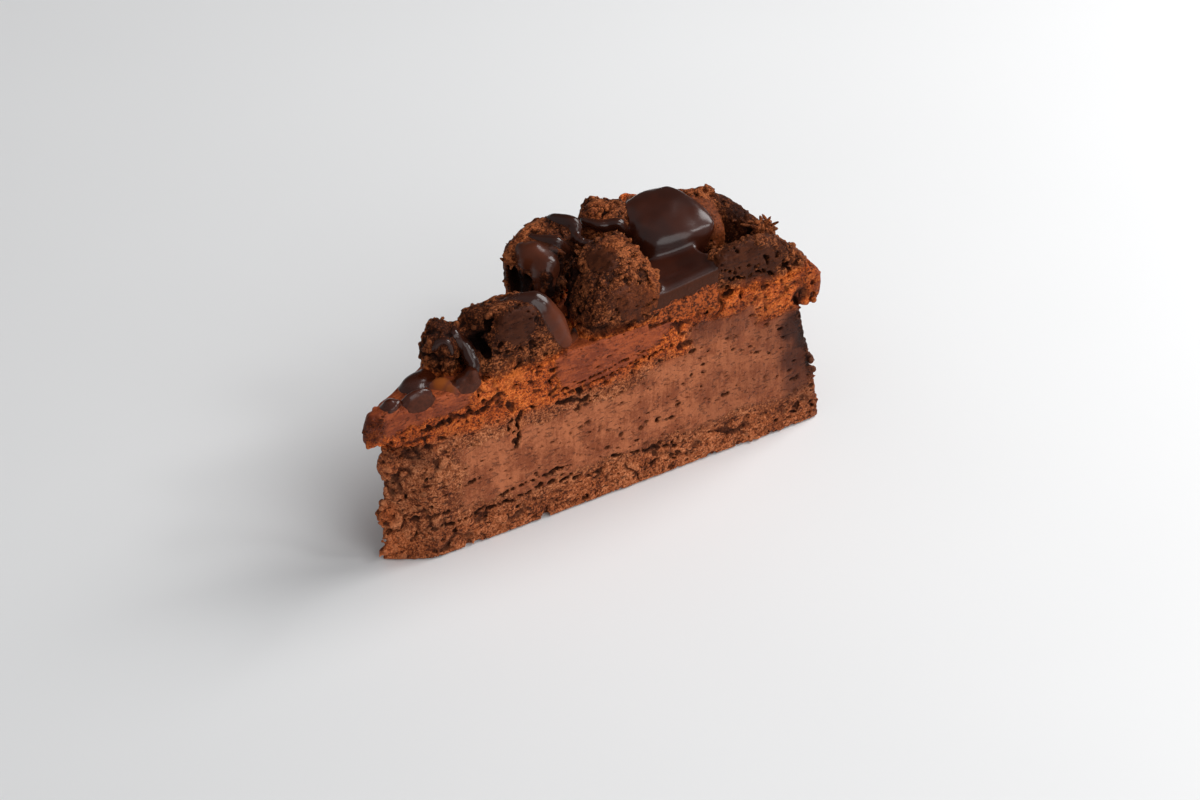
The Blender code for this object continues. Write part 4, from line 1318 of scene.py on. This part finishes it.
FINISHES = {
    "crumb_base": cake_finish("crumb base"),
    "fudge_layer": cake_finish("baked fudge"),
    "sponge_layer": cake_finish("sponge"),
    "ganache_bed": cake_finish("ganache bed"),
    "brownie": cake_finish("brownie", 0.08),
}
print("finishes of cake:", len(FINISHES))

# %% [markdown]
# ## Glossy ganache
# Set ganache is nearly black and mirrors its surroundings softly. A clear coat over the main shader gives
# that wet look. Where the knife went through the pool it is duller and paler, and crumb clings to its foot.

# %% Finish of the poured ganache
def glaze_finish():
    finish = Finish("poured ganache")
    place = finish.where()
    swirl = finish.noise(place, 90.0, 2.0)
    dust = finish.noise(place, 1500.0, 3.0)
    patch = finish.noise(place, 260.0, 3.0)
    colour = finish.blend((0.026, 0.0052, 0.0022), (0.044, 0.0090, 0.0036), finish.step(swirl, 0.35, 0.65))
    sliced = finish.behind_knife(place, 0.0006, 0.0002)
    cut_colour = finish.blend((0.036, 0.0078, 0.0020), (0.072, 0.0165, 0.0044), dust)
    colour = finish.blend(colour, cut_colour, sliced)
    bare = finish.step(finish.mask("crumb") + (dust - 0.5) * 0.5 + (patch - 0.5) * 0.9, 0.40, 0.60)
    lit = finish.step(dust + (patch - 0.5) * 0.5, 0.40, 0.62)
    crumbs = finish.blend((0.075, 0.015, 0.0040), (0.45, 0.092, 0.0185), lit)
    # painted shade in the hollows between the crumbs at the pool's foot
    hollow = finish.step(finish.mask("depth"), 0.15, 0.7)
    crumbs = finish.blend(crumbs, (0.012, 0.0025, 0.0010), hollow * 0.85)
    finish.set(base_color=finish.blend(colour, crumbs, bare))
    rough = 0.27 + finish.step(dust, 0.62, 0.72) * 0.12 + swirl * 0.08
    finish.set(roughness=finish.blend_value(finish.blend_value(rough, 0.60, sliced), 0.70, bare))
    finish.set(normal=finish.bump(swirl * 0.25 + dust * (bare + sliced * 0.4), 0.0005, 0.8))
    finish.set(coat_weight=(1.0 - bare) * (1.0 - sliced) * 0.45)
    finish.set_even(0.20, 0.15)
    return finish.material


# %% [markdown]
# ## Chocolate drops
# The drops are harder chocolate. Outside they are glossy, and where the knife has gone through them they are
# paler and duller.

# %% Finish of the drops
def drop_finish():
    finish = Finish("chocolate drop")
    place = finish.where()
    sliced = finish.behind_knife(place, 0.0006, 0.0003)
    fine = finish.noise(place, 1300.0, 3.0)
    cut_colour = finish.blend((0.056, 0.0140, 0.0062), (0.082, 0.0205, 0.0092), finish.step(fine, 0.35, 0.65))
    finish.set(base_color=finish.blend((0.048, 0.0090, 0.0030), cut_colour, sliced))
    finish.set(roughness=0.24 + sliced * 0.34 + fine * 0.08)
    finish.set(normal=finish.bump(fine, 0.0002, 0.4), coat_weight=0.32 - sliced * 0.32)
    finish.set_even(0.12, 0.15)
    return finish.material


# %% [markdown]
# ## Each piece gets its finish
# The start of a piece's name tells its finish.

# %% Finishes
FINISHES["ganache_pour"] = glaze_finish()
FINISHES["chocolate"] = drop_finish()
for name, piece in pieces.items():
    kind = next(key for key in FINISHES if name.startswith(key))
    piece.data.materials.append(FINISHES[kind])
print("finishes:", len(FINISHES))

# %% [markdown]
# ## The floor
# A plain pale floor throws soft light back up at the slice. It lies a hair under the cake, so that the two
# never share a plane, and it isn't part of the cake.

# %% The floor
def floor_finish():
    finish = Finish("pale floor")
    tint = finish.noise(finish.where(), 6.0, 2.0)
    finish.set(base_color=finish.blend((0.80,) * 3, (0.83,) * 3, tint), roughness=0.5 + tint * 0.1)
    return finish.material


FLOOR_HALF, FLOOR_HEIGHT = 3.0, -0.0002  # metres
corners = [(side_x * FLOOR_HALF, side_y * FLOOR_HALF, FLOOR_HEIGHT) for side_x, side_y in (
    (-1, -1), (1, -1), (1, 1), (-1, 1)
)]
floor_mesh = bpy.data.meshes.new("floor")
floor_mesh.from_pydata(corners, [], [(0, 1, 2, 3)])
floor = bpy.data.objects.new("floor", floor_mesh)
bpy.context.scene.collection.objects.link(floor)
floor_mesh.materials.append(floor_finish())
print("floor:", 2 * FLOOR_HALF, "m wide")

# %% [markdown]
# ## The lights
# Food looks best in broad, soft light from the side and behind, which draws the crumb's relief and gives
# the ganache its pale, wide highlights. A weaker light fills the near face, and a small one adds the short,
# bright gleams. The room itself is pale in front and dark behind, which the ganache mirrors.

# %% The lights
LIGHTS = (
    # name, place, target, width in metres, power in watts
    ("window", (0.62, -0.18, 0.60), (0.0, 0.0, 0.02), 0.55, 6.0),
    ("fill", (-0.20, -0.85, 0.55), (0.0, 0.0, 0.02), 0.70, 3.1),
    ("gleam", (0.32, -0.66, 0.66), (0.02, -0.01, 0.05), 0.16, 0.9),
)
for name, spot, target, width, power in LIGHTS:
    light = bpy.data.lights.new(name, "AREA")
    light.shape, light.size, light.energy = "DISK", width, power
    lamp = bpy.data.objects.new(name, light)
    bpy.context.scene.collection.objects.link(lamp)
    lamp.location = spot
    lamp.rotation_mode = "QUATERNION"
    lamp.rotation_quaternion = (Vector(target) - Vector(spot)).to_track_quat("-Z", "Y")
print("lights:", len(LIGHTS))

# %% [markdown]
# ## The room
# The world stands for a studio. Its light fades from pale to dim towards one corner, by a step over how far
# a direction turns to that corner.

# %% The room
DIM_CORNER = (0.63, 0.61, 0.48)
ROOM_STRENGTH = 0.42
world = bpy.data.worlds.new("studio")
world.use_nodes = True
bpy.context.scene.world = world
room = NodeTree(world.node_tree)
facing = room.along(room.add("ShaderNodeTexCoord", output="Generated"), DIM_CORNER)
background = world.node_tree.nodes["Background"]
room_colour = room.blend((0.95, 0.97, 1.0), (0.22, 0.21, 0.20), room.step(facing, 0.35, 0.95))
room.feed(background.inputs["Color"], room_colour)
background.inputs["Strength"].default_value = ROOM_STRENGTH
bpy.context.scene.view_settings.view_transform = "Standard"
print("room strength:", ROOM_STRENGTH)

# %% [markdown]
# ## The camera
# A long lens from well above and to the left of the point shows the slice as on a menu. Its place and the
# place that it looks at are given from the cake's centre, in millimetres.

# %% The camera
CAMERA_PLACE, CAMERA_TARGET = (-543.3, -606.8, 588.8), (89.8, 2.4, 11.2)
LENS, SENSOR = 125.64, 36.0  # both in millimetres


def in_metres(place):
    """A place from the cake's centre, as Blender wants it."""
    return Vector((np.array(place) + CENTRE) * MM)


camera_data = bpy.data.cameras.new("camera")
camera_data.sensor_width, camera_data.lens = SENSOR, LENS
camera = bpy.data.objects.new("camera", camera_data)
bpy.context.scene.collection.objects.link(camera)
camera.location = in_metres(CAMERA_PLACE)
camera.rotation_mode = "QUATERNION"
camera.rotation_quaternion = (in_metres(CAMERA_TARGET) - camera.location).to_track_quat("-Z", "Y")
bpy.context.scene.camera = camera
print("lens:", LENS, "mm")

# %% [markdown]
# ## The size at load
# The carved pieces may reach a little past the solids, but the slice has to keep its size. The box round all
# of it is printed as it was at load.

# %% The end of the lesson
print("size at load", [round((b - a) / MM, 2) for a, b in zip(*bounds_at_load)], "mm")
